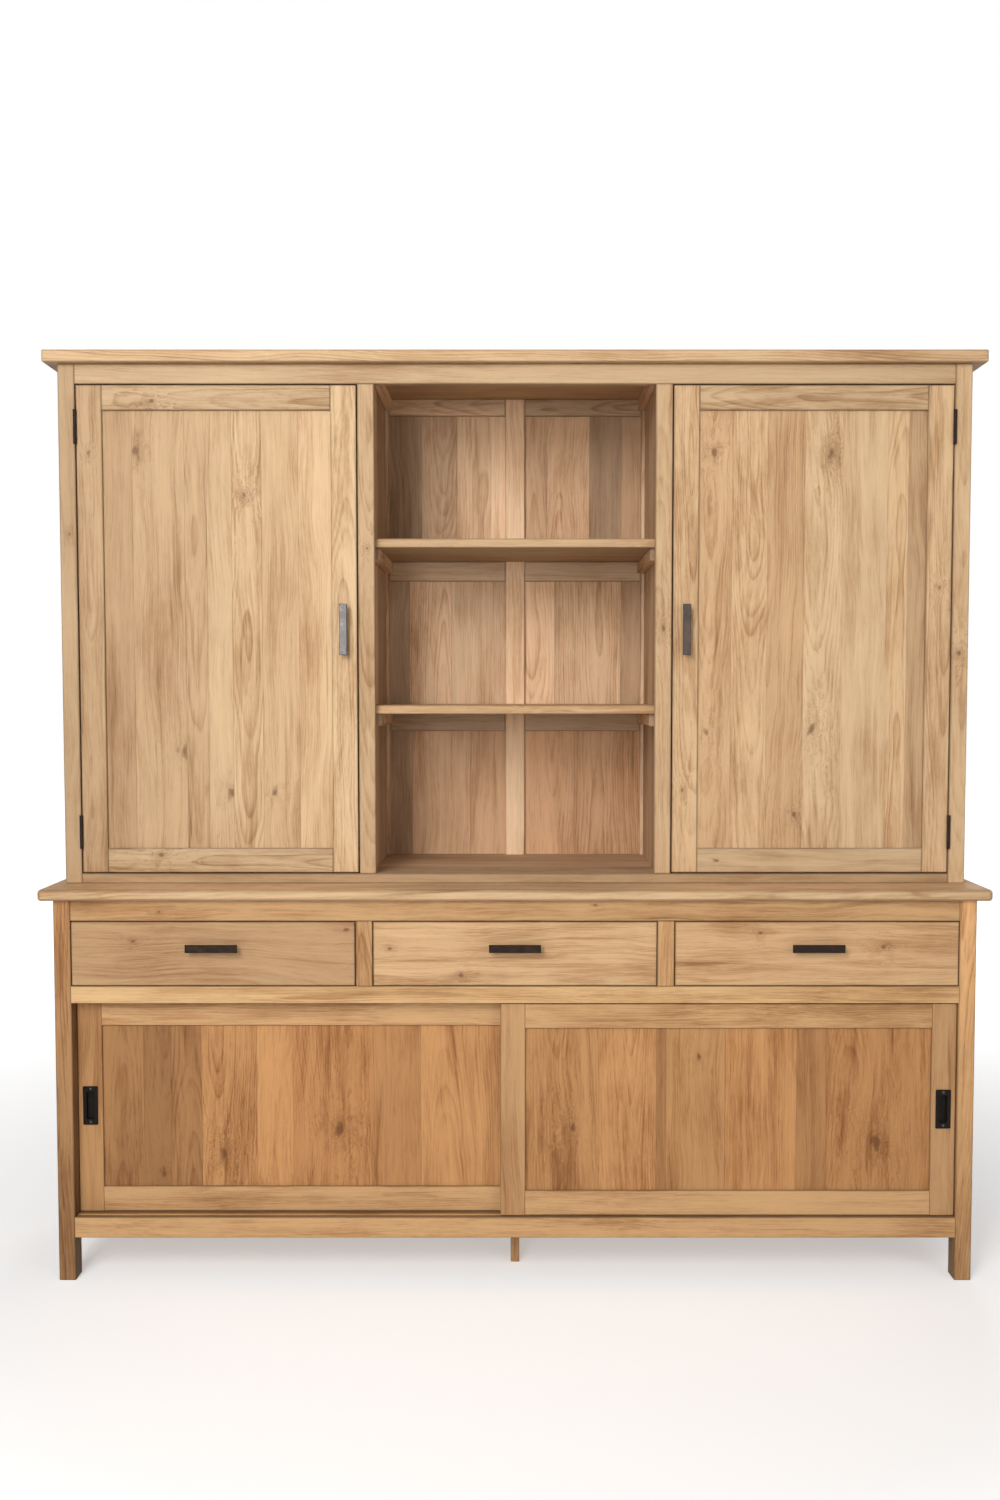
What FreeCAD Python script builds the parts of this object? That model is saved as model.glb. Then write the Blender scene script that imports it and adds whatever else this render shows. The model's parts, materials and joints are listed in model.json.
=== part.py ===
import FreeCAD, Part
import os
import Sketcher
from types import SimpleNamespace

# Storage cupboard: a base with drawers and sliding doors, and a hutch with two hinged doors.
# Millimetres. +Z is up, the front faces -Y, and the origin is on the floor below the middle.

# Driving dimensions, each written once
SIZES = {
    # Whole cupboard
    "cabinet_width": 2200,
    "top_overhang": 29,
    "carcase_depth": 483,
    "hutch_setback": 91,
    "counter_overhang": 17,
    "cornice_overhang": 20,
    # Heights, one above the other from the floor
    "leg_clearance": 102,
    "bottom_rail_height": 48,
    "sliding_opening_height": 508,
    "drawer_rail_height": 40,
    "drawer_opening_height": 153,
    "base_top_rail_height": 49,
    "counter_thickness": 26,
    "hutch_sill_height": 23,
    "hutch_opening_height": 1153,
    "hutch_top_rail_height": 46,
    "cornice_thickness": 28,
    # Carcase timber
    "stile_width": 39,
    "leg_depth": 45,
    "frame_thickness": 22,
    "board_thickness": 20,
    "side_recess": 4,
    "panel_thickness": 9,
    "panel_clearance": 0.2,
    "groove_depth": 9,
    "groove_slack": 1.5,
    "arris": 1.5,
    "nose_radius": 5,
    "cornice_ease": 2,
    "tenon_length": 14,
    "tenon_thickness": 8,
    "tenon_shoulder": 6,
    "joint_clearance": 0.1,
    "foot_width": 21,
    "foot_depth": 60,
    "foot_setback": 100,
    # Back wall of the hutch and base
    "wall_frame_thickness": 12,
    "wall_board_thickness": 9,
    "wall_member_width": 51,
    "wall_top_rail_height": 44,
    # Shelves
    "shelf_thickness": 21,
    "shelf_setback": 24,
    "lower_shelf_rise": 401,
    "upper_shelf_rise": 796,
    "cleat_height": 30,
    "cleat_width": 18,
    "cleat_setback": 16,
    # Hinged doors
    "door_gap": 3,
    "door_thickness": 22,
    "door_stile_width": 60,
    "door_rail_height": 58,
    # Butt hinges
    "hinge_length": 80,
    "hinge_inset": 57,
    "leaf_depth": 20,
    "leaf_thickness": 1.3,
    "leaf_gap": 0.3,
    "knuckle_radius": 4,
    "pin_radius": 2,
    "pin_clearance": 0.05,
    # Bar handles
    "handle_length": 120,
    "handle_width": 18,
    "handle_thickness": 6,
    "handle_projection": 25,
    "handle_ease": 1.2,
    "handle_foot_width": 9,
    "handle_foot_inset": 8,
    "door_handle_rise": 576,
    "drawer_handle_rise": 92,
    # Drawers
    "drawer_gap": 2,
    "drawer_front_thickness": 20,
    "drawer_length": 430,
    "drawer_side_thickness": 12,
    "drawer_side_height": 118,
    "drawer_bottom_thickness": 6,
    "drawer_bottom_rise": 12,
    "drawer_groove_depth": 5,
    "drawer_ease": 1,
    "runner_ledge": 16,
    "guide_height": 24,
    "running_gap": 0.3,
    # Sliding doors
    "sliding_thickness": 21,
    "sliding_recess": 9,
    "sliding_spacing": 6,
    "sliding_overlap": 68,
    "sliding_end_gap": 0.5,
    "sliding_edge_gap": 3,
    "sliding_stile_width": 58,
    "sliding_rail_height": 58,
    "tongue_thickness": 8,
    "tongue_clearance": 0.5,
    "lower_track_depth": 6,
    "upper_track_depth": 11,
    "upper_tongue_bite": 6,
    # Flush pulls
    "pull_width": 35,
    "pull_height": 92,
    "pull_plate_thickness": 2,
    "pull_corner": 2.5,
    "pull_pocket_width": 18.5,
    "pull_pocket_height": 66,
    "pull_pocket_depth": 9.5,
    "pull_pocket_corner": 4,
    "pull_wall": 1.5,
    "pull_clearance": 0.3,
    "pull_screw_radius": 2,
    "pull_rise": 256,
}

doc = FreeCAD.newDocument("storage_cupboard")
sheet = doc.addObject("Spreadsheet::Sheet", "sizes")
for row, (alias, number) in enumerate(SIZES.items(), 1):
    sheet.set(f"A{row}", alias)
    sheet.set(f"B{row}", str(number))
    sheet.setAlias(f"B{row}", alias)
doc.recompute()


class Size:
    """A length that carries its value and the sheet expression that gives it."""

    def __init__(self, text, value):
        self.text = text
        self.value = value

    @staticmethod
    def of(other):
        return other if isinstance(other, Size) else Size(str(other), other)

    def __add__(self, other):
        other = Size.of(other)
        return Size(f"({self.text} + {other.text})", self.value + other.value)

    def __sub__(self, other):
        other = Size.of(other)
        return Size(f"({self.text} - {other.text})", self.value - other.value)

    def __mul__(self, other):
        other = Size.of(other)
        return Size(f"({self.text} * {other.text})", self.value * other.value)

    def __truediv__(self, other):
        other = Size.of(other)
        return Size(f"({self.text} / {other.text})", self.value / other.value)

    def __neg__(self):
        return Size(f"(0 - {self.text})", -self.value)


ZERO = Size("0", 0)
s = SimpleNamespace(**{name: Size(f"sizes.{name}", number) for name, number in SIZES.items()})
LEFT, RIGHT = -1, 1
SIDES = {LEFT: "left", RIGHT: "right"}

# Lines across the front, from the middle outwards
half_width = s.cabinet_width / 2
side_x = half_width - s.top_overhang
bay_width = (side_x * 2 - s.stile_width * 4) / 3
bay_x = bay_width / 2
post_x = bay_x + s.stile_width
jamb_x = side_x - s.stile_width
partition_x = (bay_x + post_x - s.board_thickness) / 2

# Planes from front to back
face_y = (s.handle_projection - s.carcase_depth) / 2
back_y = face_y + s.carcase_depth
hutch_y = face_y + s.hutch_setback
wall_y = back_y - s.wall_board_thickness - s.wall_frame_thickness

# Levels from the floor up
rail_z = s.leg_clearance
track_z = rail_z + s.bottom_rail_height
drawer_rail_z = track_z + s.sliding_opening_height
drawer_z = drawer_rail_z + s.drawer_rail_height
base_top_z = drawer_z + s.drawer_opening_height
counter_z = base_top_z + s.base_top_rail_height
sill_z = counter_z + s.counter_thickness
hutch_z = sill_z + s.hutch_sill_height
lintel_z = hutch_z + s.hutch_opening_height
cornice_z = lintel_z + s.hutch_top_rail_height
top_z = cornice_z + s.cornice_thickness
shelf_levels = (hutch_z + s.lower_shelf_rise, hutch_z + s.upper_shelf_rise)

# The sketch plane across each direction, and whether its normal points along that direction
PLANES = {"x": ("YZ_Plane", True), "y": ("XZ_Plane", False), "z": ("XY_Plane", True)}
ACROSS = {"x": "yz", "y": "xz", "z": "xy"}
nodes = {}


class Piece:
    """One body, placed at its low corner, whose features are prisms between planes of the cupboard."""

    def __init__(self, label, x, y, z):
        self.body = doc.addObject("PartDesign::Body", label)
        self.body.Label = label
        self.corner = {"x": x[0], "y": y[0], "z": z[0]}
        for axis, place in self.corner.items():
            self.body.setExpression(f"Placement.Base.{axis}", place.text)

    def outline(self, axis, start):
        """An empty sketch across an axis, on the plane where that axis has the value start."""
        sketch = self.body.newObject("Sketcher::SketchObject", "outline")
        role, along = PLANES[axis]
        plane = next(p for p in self.body.Origin.OriginFeatures if p.Role == role)
        sketch.AttachmentSupport = [(plane, "")]
        sketch.MapMode = "FlatFace"
        offset = start - self.corner[axis]
        sketch.setExpression("AttachmentOffset.Base.z", (offset if along else -offset).text)
        return sketch

    def pin(self, sketch, curve, point, axis, u, v):
        """Holds one point of a sketch at two coordinates of the cupboard."""
        for kind, name, place in zip(("DistanceX", "DistanceY"), ACROSS[axis], (u, v)):
            local = place - self.corner[name]
            index = sketch.addConstraint(Sketcher.Constraint(kind, -1, 1, curve, point, local.value))
            sketch.setExpression(f"Constraints[{index}]", local.text)

    def rectangle(self, axis, start, u, v):
        sketch = self.outline(axis, start)
        across = ACROSS[axis]
        corners = [(u[0], v[0]), (u[1], v[0]), (u[1], v[1]), (u[0], v[1])]
        points = []
        for a, b in corners:
            local = (a - self.corner[across[0]], b - self.corner[across[1]])
            points.append(FreeCAD.Vector(local[0].value, local[1].value, 0))
        for i in range(4):
            sketch.addGeometry(Part.LineSegment(points[i], points[(i + 1) % 4]))
        for i in range(4):
            sketch.addConstraint(Sketcher.Constraint("Coincident", i, 2, (i + 1) % 4, 1))
        for i in (0, 2):
            self.pin(sketch, i, 1, axis, *corners[i])
        for i in range(4):
            sketch.addConstraint(Sketcher.Constraint("Vertical" if i % 2 else "Horizontal", i))
        return sketch

    def circles(self, axis, start, centres, radius):
        sketch = self.outline(axis, start)
        across = ACROSS[axis]
        for i, (a, b) in enumerate(centres):
            local = (a - self.corner[across[0]], b - self.corner[across[1]])
            centre = FreeCAD.Vector(local[0].value, local[1].value, 0)
            sketch.addGeometry(Part.Circle(centre, FreeCAD.Vector(0, 0, 1), radius.value))
            self.pin(sketch, i, 3, axis, a, b)
            index = sketch.addConstraint(Sketcher.Constraint("Radius", i, radius.value))
            sketch.setExpression(f"Constraints[{index}]", radius.text)
        return sketch

    def grow(self, kind, sketch, axis, length):
        """A pad, or a pocket, from the sketch's plane towards the positive end of the axis."""
        feature = self.body.newObject(f"PartDesign::{kind}", kind.lower())
        feature.Profile = sketch
        feature.setExpression("Length", length.text)
        along = PLANES[axis][1]
        feature.Reversed = along if kind == "Pocket" else not along
        return feature

    def add(self, axis, x, y, z):
        """Adds the block between three pairs of planes, drawn across one axis."""
        return self.block("Pad", axis, {"x": x, "y": y, "z": z})

    def cut(self, axis, x, y, z):
        """Takes away the block between three pairs of planes, and checks that it removed material."""
        doc.recompute()
        before = self.body.Shape.Volume
        feature = self.block("Pocket", axis, {"x": x, "y": y, "z": z})
        self.check_cut(before)
        return feature

    def block(self, kind, axis, spans):
        u, v = (spans[name] for name in ACROSS[axis])
        sketch = self.rectangle(axis, spans[axis][0], u, v)
        return self.grow(kind, sketch, axis, spans[axis][1] - spans[axis][0])

    def check_cut(self, before):
        doc.recompute()
        if self.body.Shape.Volume >= before:
            raise RuntimeError(f"a cut in {self.body.Label} removes nothing")

    def edges(self, wanted):
        """The names of the edges of the body so far that the test picks."""
        doc.recompute()
        box = self.body.Tip.Shape.BoundBox
        found = enumerate(self.body.Tip.Shape.Edges, 1)
        return [f"Edge{i}" for i, edge in found if wanted(edge, box)]

    def dress(self, kind, size, wanted):
        """A chamfer or a fillet on the picked edges."""
        names = self.edges(wanted)
        base = self.body.Tip
        feature = self.body.newObject(f"PartDesign::{kind}", kind.lower())
        feature.Base = (base, names)
        feature.setExpression("Size" if kind == "Chamfer" else "Radius", size.text)
        return feature


def runs_along(edge, axis):
    """Whether an edge is straight and parallel to an axis."""
    ends = [v.Point for v in edge.Vertexes]
    if len(ends) < 2:
        return False
    step = ends[1] - ends[0]
    return all(abs(getattr(step, name)) < 1e-6 for name in "xyz" if name != axis)


def plank(label, axis, x, y, z, ease=s.arris):
    """A straight board along one axis, with the arrises along its length eased."""
    piece = Piece(label, x, y, z)
    piece.add(axis, x, y, z)
    piece.dress("Chamfer", ease, lambda edge, box: runs_along(edge, axis))
    return piece


def node(label, pieces):
    """Names one physical piece, or a set of like pieces, as a sub-part."""
    if len(pieces) == 1:
        nodes[label] = pieces[0].body
        return
    group = doc.addObject("Part::Compound", label)
    group.Label = label
    group.Links = [piece.body for piece in pieces]
    nodes[label] = group


def span(side, near, far):
    """The stretch from near to far of the middle line, on the left or the right."""
    return (near, far) if side == RIGHT else (-far, -near)


def around(middle, width):
    """The stretch of a given width about a middle."""
    return (middle - width / 2, middle + width / 2)


def above(level, height):
    return (level, level + height)


def below(level, height):
    return (level - height, level)


# Base carcase

track_depth = s.sliding_recess * 2 + s.sliding_thickness * 2 + s.sliding_spacing
track_back_y = face_y + track_depth
frame_back_y = face_y + s.frame_thickness
leg_back_y = face_y + s.leg_depth
back_leg_y = back_y - s.leg_depth
boards_y = back_y - s.wall_board_thickness
back_frame_y = boards_y - s.board_thickness
side_frame_x = side_x - s.side_recess
side_panel_x = (jamb_x + side_frame_x) / 2
groove_width = s.panel_thickness + s.panel_clearance * 2
panel_bite = s.groove_depth - s.groove_slack
front_rails = (
    ("base_bottom_rail", (rail_z, track_z), track_back_y),
    ("base_drawer_rail", (drawer_rail_z, drawer_z), track_back_y),
    ("base_top_rail", (base_top_z, counter_z), frame_back_y),
)
tenon_y = around(face_y + s.frame_thickness / 2, s.tenon_thickness)


def grown(stretch, clearance):
    """A stretch widened at both ends by a clearance."""
    return (stretch[0] - clearance, stretch[1] + clearance)


def base_legs():
    """Corner legs from the floor to the counter, mortised for the rails and grooved for the side panels."""
    rows = {"front": (face_y, leg_back_y), "back": (back_leg_y, back_y)}
    grooves = {"front": below(leg_back_y, s.groove_depth), "back": above(back_leg_y, s.groove_depth)}
    for row, depth in rows.items():
        legs = []
        for side in SIDES:
            leg = plank(f"{row}_leg", "z", span(side, jamb_x, side_x), depth, (ZERO, counter_z))
            groove_x = around(side_panel_x * side, groove_width)
            leg.cut("z", groove_x, grooves[row], grown((track_z, base_top_z), s.groove_depth))
            if row == "front":
                mortise_x = span(side, jamb_x, jamb_x + s.tenon_length + s.joint_clearance)
                for label, height, back in front_rails:
                    tenon_z = grown(height, -s.tenon_shoulder)
                    leg.cut("x", mortise_x, grown(tenon_y, s.joint_clearance),
                            grown(tenon_z, s.joint_clearance))
            legs.append(leg)
        node(f"base_{row}_legs", legs)


def door_middle_y(side):
    """The middle of a sliding door's thickness: the right door runs in front of the left one."""
    front = face_y + s.sliding_recess + s.sliding_thickness / 2
    return front if side == RIGHT else front + s.sliding_thickness + s.sliding_spacing


def base_front_rails():
    """Rails between the front legs, two of them with a pair of tracks for the sliding doors."""
    across = (-jamb_x, jamb_x)
    track_width = s.tongue_thickness + s.tongue_clearance * 2
    tracks = {
        "base_bottom_rail": below(track_z, s.lower_track_depth),
        "base_drawer_rail": above(drawer_rail_z, s.upper_track_depth),
    }
    for label, height, back in front_rails:
        rail = plank(label, "x", across, (face_y, back), height)
        rail.add("x", grown(across, s.tenon_length), tenon_y, grown(height, -s.tenon_shoulder))
        if label in tracks:
            for side in SIDES:
                rail.cut("x", across, around(door_middle_y(side), track_width), tracks[label])
        node(label, [rail])
    posts = []
    for side in SIDES:
        height = (drawer_z, base_top_z)
        posts.append(plank("drawer_divider", "z", span(side, bay_x, post_x), (face_y, frame_back_y), height))
    node("drawer_dividers", posts)


def base_sides():
    """A top and a bottom rail on each side, with a panel held in their grooves and the legs'."""
    length = (leg_back_y, back_leg_y)
    rails, panels = [], []
    for side in SIDES:
        across = span(side, jamb_x, side_frame_x)
        groove_x = around(side_panel_x * side, groove_width)
        lower = plank("side_rail", "y", across, length, (rail_z, track_z))
        lower.cut("y", groove_x, length, below(track_z, s.groove_depth))
        upper = plank("side_rail", "y", across, length, (base_top_z, counter_z))
        upper.cut("y", groove_x, length, above(base_top_z, s.groove_depth))
        rails += [lower, upper]
        panel_x = around(side_panel_x * side, s.panel_thickness)
        panels.append(plank("side_panel", "z", panel_x, grown(length, panel_bite),
                            grown((track_z, base_top_z), panel_bite)))
    node("base_side_rails", rails)
    node("base_side_panels", panels)


def base_back():
    """Three rails and a middle muntin between the back legs, with boards behind them."""
    depth = (back_frame_y, boards_y)
    across = (-jamb_x, jamb_x)
    levels = ((rail_z, track_z), (drawer_rail_z, drawer_z), (base_top_z, counter_z))
    frame = [plank("base_back_rail", "x", across, depth, level) for level in levels]
    frame.append(plank("base_back_muntin", "z", around(ZERO, s.wall_member_width), depth,
                       (track_z, drawer_rail_z)))
    node("base_back_frame", frame)
    boards = [plank("base_back_board", "z", span(side, ZERO, jamb_x), (boards_y, back_y),
                    (rail_z, counter_z)) for side in SIDES]
    node("base_back_boards", boards)


def base_inside():
    """The cupboard floor on its middle foot, and the runners and guides that carry the drawers."""
    node("base_floor", [plank("base_floor", "x", (-jamb_x, jamb_x), (track_back_y, back_frame_y),
                              below(track_z, s.board_thickness))])
    foot_y = above(face_y + s.foot_setback, s.foot_depth)
    node("centre_foot", [plank("centre_foot", "z", around(ZERO, s.foot_width), foot_y,
                               (ZERO, track_z - s.board_thickness))])
    panel_face_x = side_panel_x - s.panel_thickness / 2
    pieces = []
    for side in SIDES:
        runner_z = below(drawer_z, s.board_thickness)
        guide_z = above(drawer_z, s.guide_height)
        inner = grown((bay_x, post_x), s.runner_ledge)
        pieces.append(plank("inner_runner", "y", span(side, *inner), (track_back_y, back_frame_y), runner_z))
        pieces.append(plank("inner_guide", "y", span(side, bay_x, post_x),
                            (frame_back_y, back_frame_y), guide_z))
        pieces.append(plank("outer_runner", "y", span(side, jamb_x - s.runner_ledge, panel_face_x),
                            (track_back_y, back_leg_y), runner_z))
        pieces.append(plank("outer_guide", "y", span(side, jamb_x, panel_face_x),
                            (leg_back_y, back_leg_y), guide_z))
    node("drawer_runners", pieces)


def round_nosed(edge, box):
    """Whether an edge borders the front or a side of a top board, along its length."""
    ends = [v.Point for v in edge.Vertexes]
    at_front = all(abs(p.y - box.YMin) < 1e-6 for p in ends) and runs_along(edge, "x")
    at_side = all(min(p.x - box.XMin, box.XMax - p.x) < 1e-6 for p in ends) and runs_along(edge, "y")
    return at_front or at_side


def countertop():
    """The counter, overhanging the base in front and at the sides, with a rounded nose."""
    x, y, z = (-half_width, half_width), (face_y - s.counter_overhang, back_y), (counter_z, sill_z)
    top = Piece("countertop", x, y, z)
    top.add("z", x, y, z)
    top.dress("Fillet", s.nose_radius, round_nosed)
    node("countertop", [top])


# Hutch

side_face_x = side_x - s.board_thickness
partition_back_x = partition_x + s.board_thickness
hutch_frame_y = hutch_y + s.frame_thickness


def hutch_front():
    """Outer stiles up to the cornice, sill and top rails between them, and inner stiles between those."""
    depth = (hutch_y, hutch_frame_y)
    stiles = []
    for side in SIDES:
        stiles.append(plank("inner_stile", "z", span(side, bay_x, post_x), depth, (hutch_z, lintel_z)))
        stiles.append(plank("outer_stile", "z", span(side, jamb_x, side_x), depth, (sill_z, cornice_z)))
    node("hutch_stiles", stiles)
    for label, height in (("hutch_sill_rail", (sill_z, hutch_z)), ("hutch_top_rail", (lintel_z, cornice_z))):
        node(label, [plank(label, "x", (-jamb_x, jamb_x), depth, height)])


def hutch_walls():
    """Sides, partitions and floor boards behind the front frame."""
    sides, partitions = [], []
    for side in SIDES:
        sides.append(plank("hutch_side", "z", span(side, side_face_x, side_x), (hutch_frame_y, back_y),
                           (sill_z, cornice_z)))
        partitions.append(plank("hutch_partition", "z", span(side, partition_x, partition_back_x),
                                (hutch_frame_y, wall_y), (sill_z, cornice_z)))
    node("hutch_sides", sides)
    node("hutch_partitions", partitions)
    bays = [(-partition_x, partition_x)] + [span(side, partition_back_x, side_face_x) for side in SIDES]
    floor_z = below(hutch_z, s.board_thickness)
    node("hutch_floor", [plank("hutch_floor", "x", bay, (hutch_frame_y, wall_y), floor_z) for bay in bays])


def hutch_back():
    """A planted frame of posts and rails on a boarded back."""
    post_middle = (bay_x + post_x) / 2
    bay_middle = (partition_back_x + side_face_x) / 2
    middles = [-bay_middle, -post_middle, ZERO, post_middle, bay_middle]
    widths = [s.wall_member_width, s.stile_width, s.wall_member_width, s.stile_width, s.wall_member_width]
    posts = [around(middle, width) for middle, width in zip(middles, widths)]
    posts = [span(LEFT, side_face_x - s.wall_member_width, side_face_x)] + posts
    posts = posts + [span(RIGHT, side_face_x - s.wall_member_width, side_face_x)]
    depth = (wall_y, boards_y)
    members = [plank("wall_post", "z", across, depth, (sill_z, cornice_z)) for across in posts]
    levels = [(sill_z, hutch_z), below(cornice_z, s.wall_top_rail_height)]
    levels += [below(level - s.shelf_thickness, s.wall_member_width) for level in shelf_levels]
    for left, right in zip(posts, posts[1:]):
        for level in levels:
            members.append(plank("wall_rail", "x", (left[1], right[0]), depth, level))
    node("hutch_back_frame", members)
    seams = [-side_face_x, -post_middle, post_middle, side_face_x]
    boards = [plank("wall_boards", "z", bay, (boards_y, back_y), (sill_z, cornice_z))
              for bay in zip(seams, seams[1:])]
    node("hutch_back_boards", boards)


def shelves():
    """Shelves in the three bays, each on a pair of cleats, with a pair of cleats under the top too."""
    centre, outer, cleats = [], [], []
    cleat_y = (hutch_y + s.shelf_setback + s.cleat_setback, wall_y)
    door_back_y = hutch_y + s.door_thickness + s.shelf_setback
    bays = {
        0: (-partition_x, partition_x),
        LEFT: span(LEFT, partition_back_x, side_face_x),
        RIGHT: span(RIGHT, partition_back_x, side_face_x),
    }
    for bay, across in bays.items():
        front = door_back_y if bay else hutch_y + s.shelf_setback
        for level in shelf_levels:
            shelf = plank("shelf", "x", across, (front, wall_y), below(level, s.shelf_thickness))
            (outer if bay else centre).append(shelf)
        for level in [level - s.shelf_thickness for level in shelf_levels] + [cornice_z]:
            cleat_z = below(level, s.cleat_height)
            for cleat_x in (above(across[0], s.cleat_width), below(across[1], s.cleat_width)):
                depth = (front + s.cleat_setback, wall_y) if bay else cleat_y
                cleats.append(plank("shelf_cleat", "y", cleat_x, depth, cleat_z))
    node("centre_shelves", centre)
    node("side_shelves", outer)
    node("shelf_cleats", cleats)


def cornice():
    """The top board, overhanging the hutch in front and at the sides."""
    x, y = (-half_width, half_width), (hutch_y - s.cornice_overhang, back_y)
    node("cornice", [plank("cornice", "x", x, y, (cornice_z, top_z), s.cornice_ease)])


# Framed doors

def framed_door(name, x, y, z, stile_width, rail_height, finish=None):
    """Two stiles, two rails with stub tenons and a loose panel, all joined in one run of grooves.

    finish, where given, shapes the stiles and rails further.
    """
    middle = (y[0] + y[1]) / 2
    groove_y = around(middle, groove_width)
    inner_x = (x[0] + stile_width, x[1] - stile_width)
    inner_z = (z[0] + rail_height, z[1] - rail_height)
    stiles, rails = [], []
    for across, groove_x in (((x[0], inner_x[0]), below(inner_x[0], s.groove_depth)),
                             ((inner_x[1], x[1]), above(inner_x[1], s.groove_depth))):
        stile = plank(f"{name}_stile", "z", across, y, z)
        stile.cut("z", groove_x, groove_y, z)
        stiles.append(stile)
    for height, groove_z, tenon_z in (
            ((z[0], inner_z[0]), below(inner_z[0], s.groove_depth), (z[0], inner_z[0] - s.groove_depth)),
            ((inner_z[1], z[1]), above(inner_z[1], s.groove_depth), (inner_z[1] + s.groove_depth, z[1]))):
        rail = plank(f"{name}_rail", "x", inner_x, y, height)
        rail.add("x", grown(inner_x, panel_bite), around(middle, s.panel_thickness),
                 grown(tenon_z, -s.arris))
        rail.cut("x", inner_x, groove_y, groove_z)
        rails.append(rail)
    panel = plank(f"{name}_panel", "z", grown(inner_x, panel_bite), around(middle, s.panel_thickness),
                  grown(inner_z, panel_bite))
    if finish:
        finish(stiles, rails)
    node(f"{name}_stiles", stiles)
    node(f"{name}_rails", rails)
    node(f"{name}_panel", [panel])


def bar_handle(name, x, face, z, upright):
    """A flat bar with eased front edges, held off the face on two square feet."""
    depth = above(face - s.handle_projection, s.handle_thickness)
    length = around(z if upright else x, s.handle_length)
    middle = x if upright else z
    width, foot_width = around(middle, s.handle_width), around(middle, s.handle_foot_width)
    across, along = (width, length) if upright else (length, width)
    handle = Piece(name, across, depth, along)
    handle.add("y", across, depth, along)
    handle.dress("Chamfer", s.handle_ease,
                 lambda edge, box: all(abs(v.Point.y - box.YMin) < 1e-6 for v in edge.Vertexes))
    for foot in (above(length[0] + s.handle_foot_inset, s.handle_foot_width),
                 below(length[1] - s.handle_foot_inset, s.handle_foot_width)):
        foot_x, foot_z = (foot_width, foot) if upright else (foot, foot_width)
        handle.add("y", foot_x, (depth[1], face), foot_z)
    node(name, [handle])


def hinge_leaf(name, pin, plate_x, z, first):
    """A leaf with every second knuckle of the barrel, counted up from first, bored for the pin."""
    pin_x, pin_y = pin
    plate_y = above(hutch_y + s.leaf_gap, s.leaf_depth)
    pitch = s.hinge_length / KNUCKLES
    leaf = Piece(name, plate_x, plate_y, z)
    leaf.add("z", plate_x, plate_y, z)
    for count in range(first, KNUCKLES, 2):
        knuckle_z = grown((z[0] + pitch * count, z[0] + pitch * (count + 1)), -s.leaf_gap / 2)
        leaf.add("z", plate_x, (pin_y, plate_y[0]), knuckle_z)
        barrel = leaf.circles("z", knuckle_z[0], [pin], s.knuckle_radius)
        leaf.grow("Pad", barrel, "z", knuckle_z[1] - knuckle_z[0])
    doc.recompute()
    before = leaf.body.Shape.Volume
    bore = leaf.circles("z", z[0], [pin], s.pin_radius + s.pin_clearance)
    leaf.grow("Pocket", bore, "z", s.hinge_length)
    leaf.check_cut(before)
    return leaf


def hinge_pin(pin, z):
    """A plain pin as long as the barrel."""
    rod = Piece("hinge_pin", (pin[0], pin[0]), (pin[1], pin[1]), z)
    rod.grow("Pad", rod.circles("z", z[0], [pin], s.pin_radius), "z", s.hinge_length)
    return rod


KNUCKLES = 3


def hinged_doors():
    """The two hutch doors, each on a pair of butt hinges at its outer stile."""
    frame_leaves, pins = [], []
    depth = (hutch_y, hutch_y + s.door_thickness)
    height = (hutch_z + s.door_gap, lintel_z - s.door_gap)
    for side, name in SIDES.items():
        edge_x = (post_x + s.door_gap, jamb_x - s.door_gap)
        framed_door(f"{name}_door", span(side, *edge_x), depth, height,
                    s.door_stile_width, s.door_rail_height)
        handle_x = (edge_x[0] + s.door_stile_width / 2) * side
        bar_handle(f"{name}_door_handle", handle_x, hutch_y, height[0] + s.door_handle_rise, True)
        pin = ((jamb_x - s.door_gap / 2) * side, hutch_y - s.knuckle_radius)
        door_leaves = []
        for hinge_z in (above(height[0] + s.hinge_inset, s.hinge_length),
                        below(height[1] - s.hinge_inset, s.hinge_length)):
            door_plate = span(side, edge_x[1], edge_x[1] + s.leaf_thickness)
            frame_plate = span(side, jamb_x - s.leaf_thickness, jamb_x)
            door_leaves.append(hinge_leaf("door_leaf", pin, door_plate, hinge_z, 1))
            frame_leaves.append(hinge_leaf("frame_leaf", pin, frame_plate, hinge_z, 0))
            pins.append(hinge_pin(pin, hinge_z))
        node(f"{name}_door_hinge_leaves", door_leaves)
    node("frame_hinge_leaves", frame_leaves)
    node("hinge_pins", pins)


# Drawers

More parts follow.
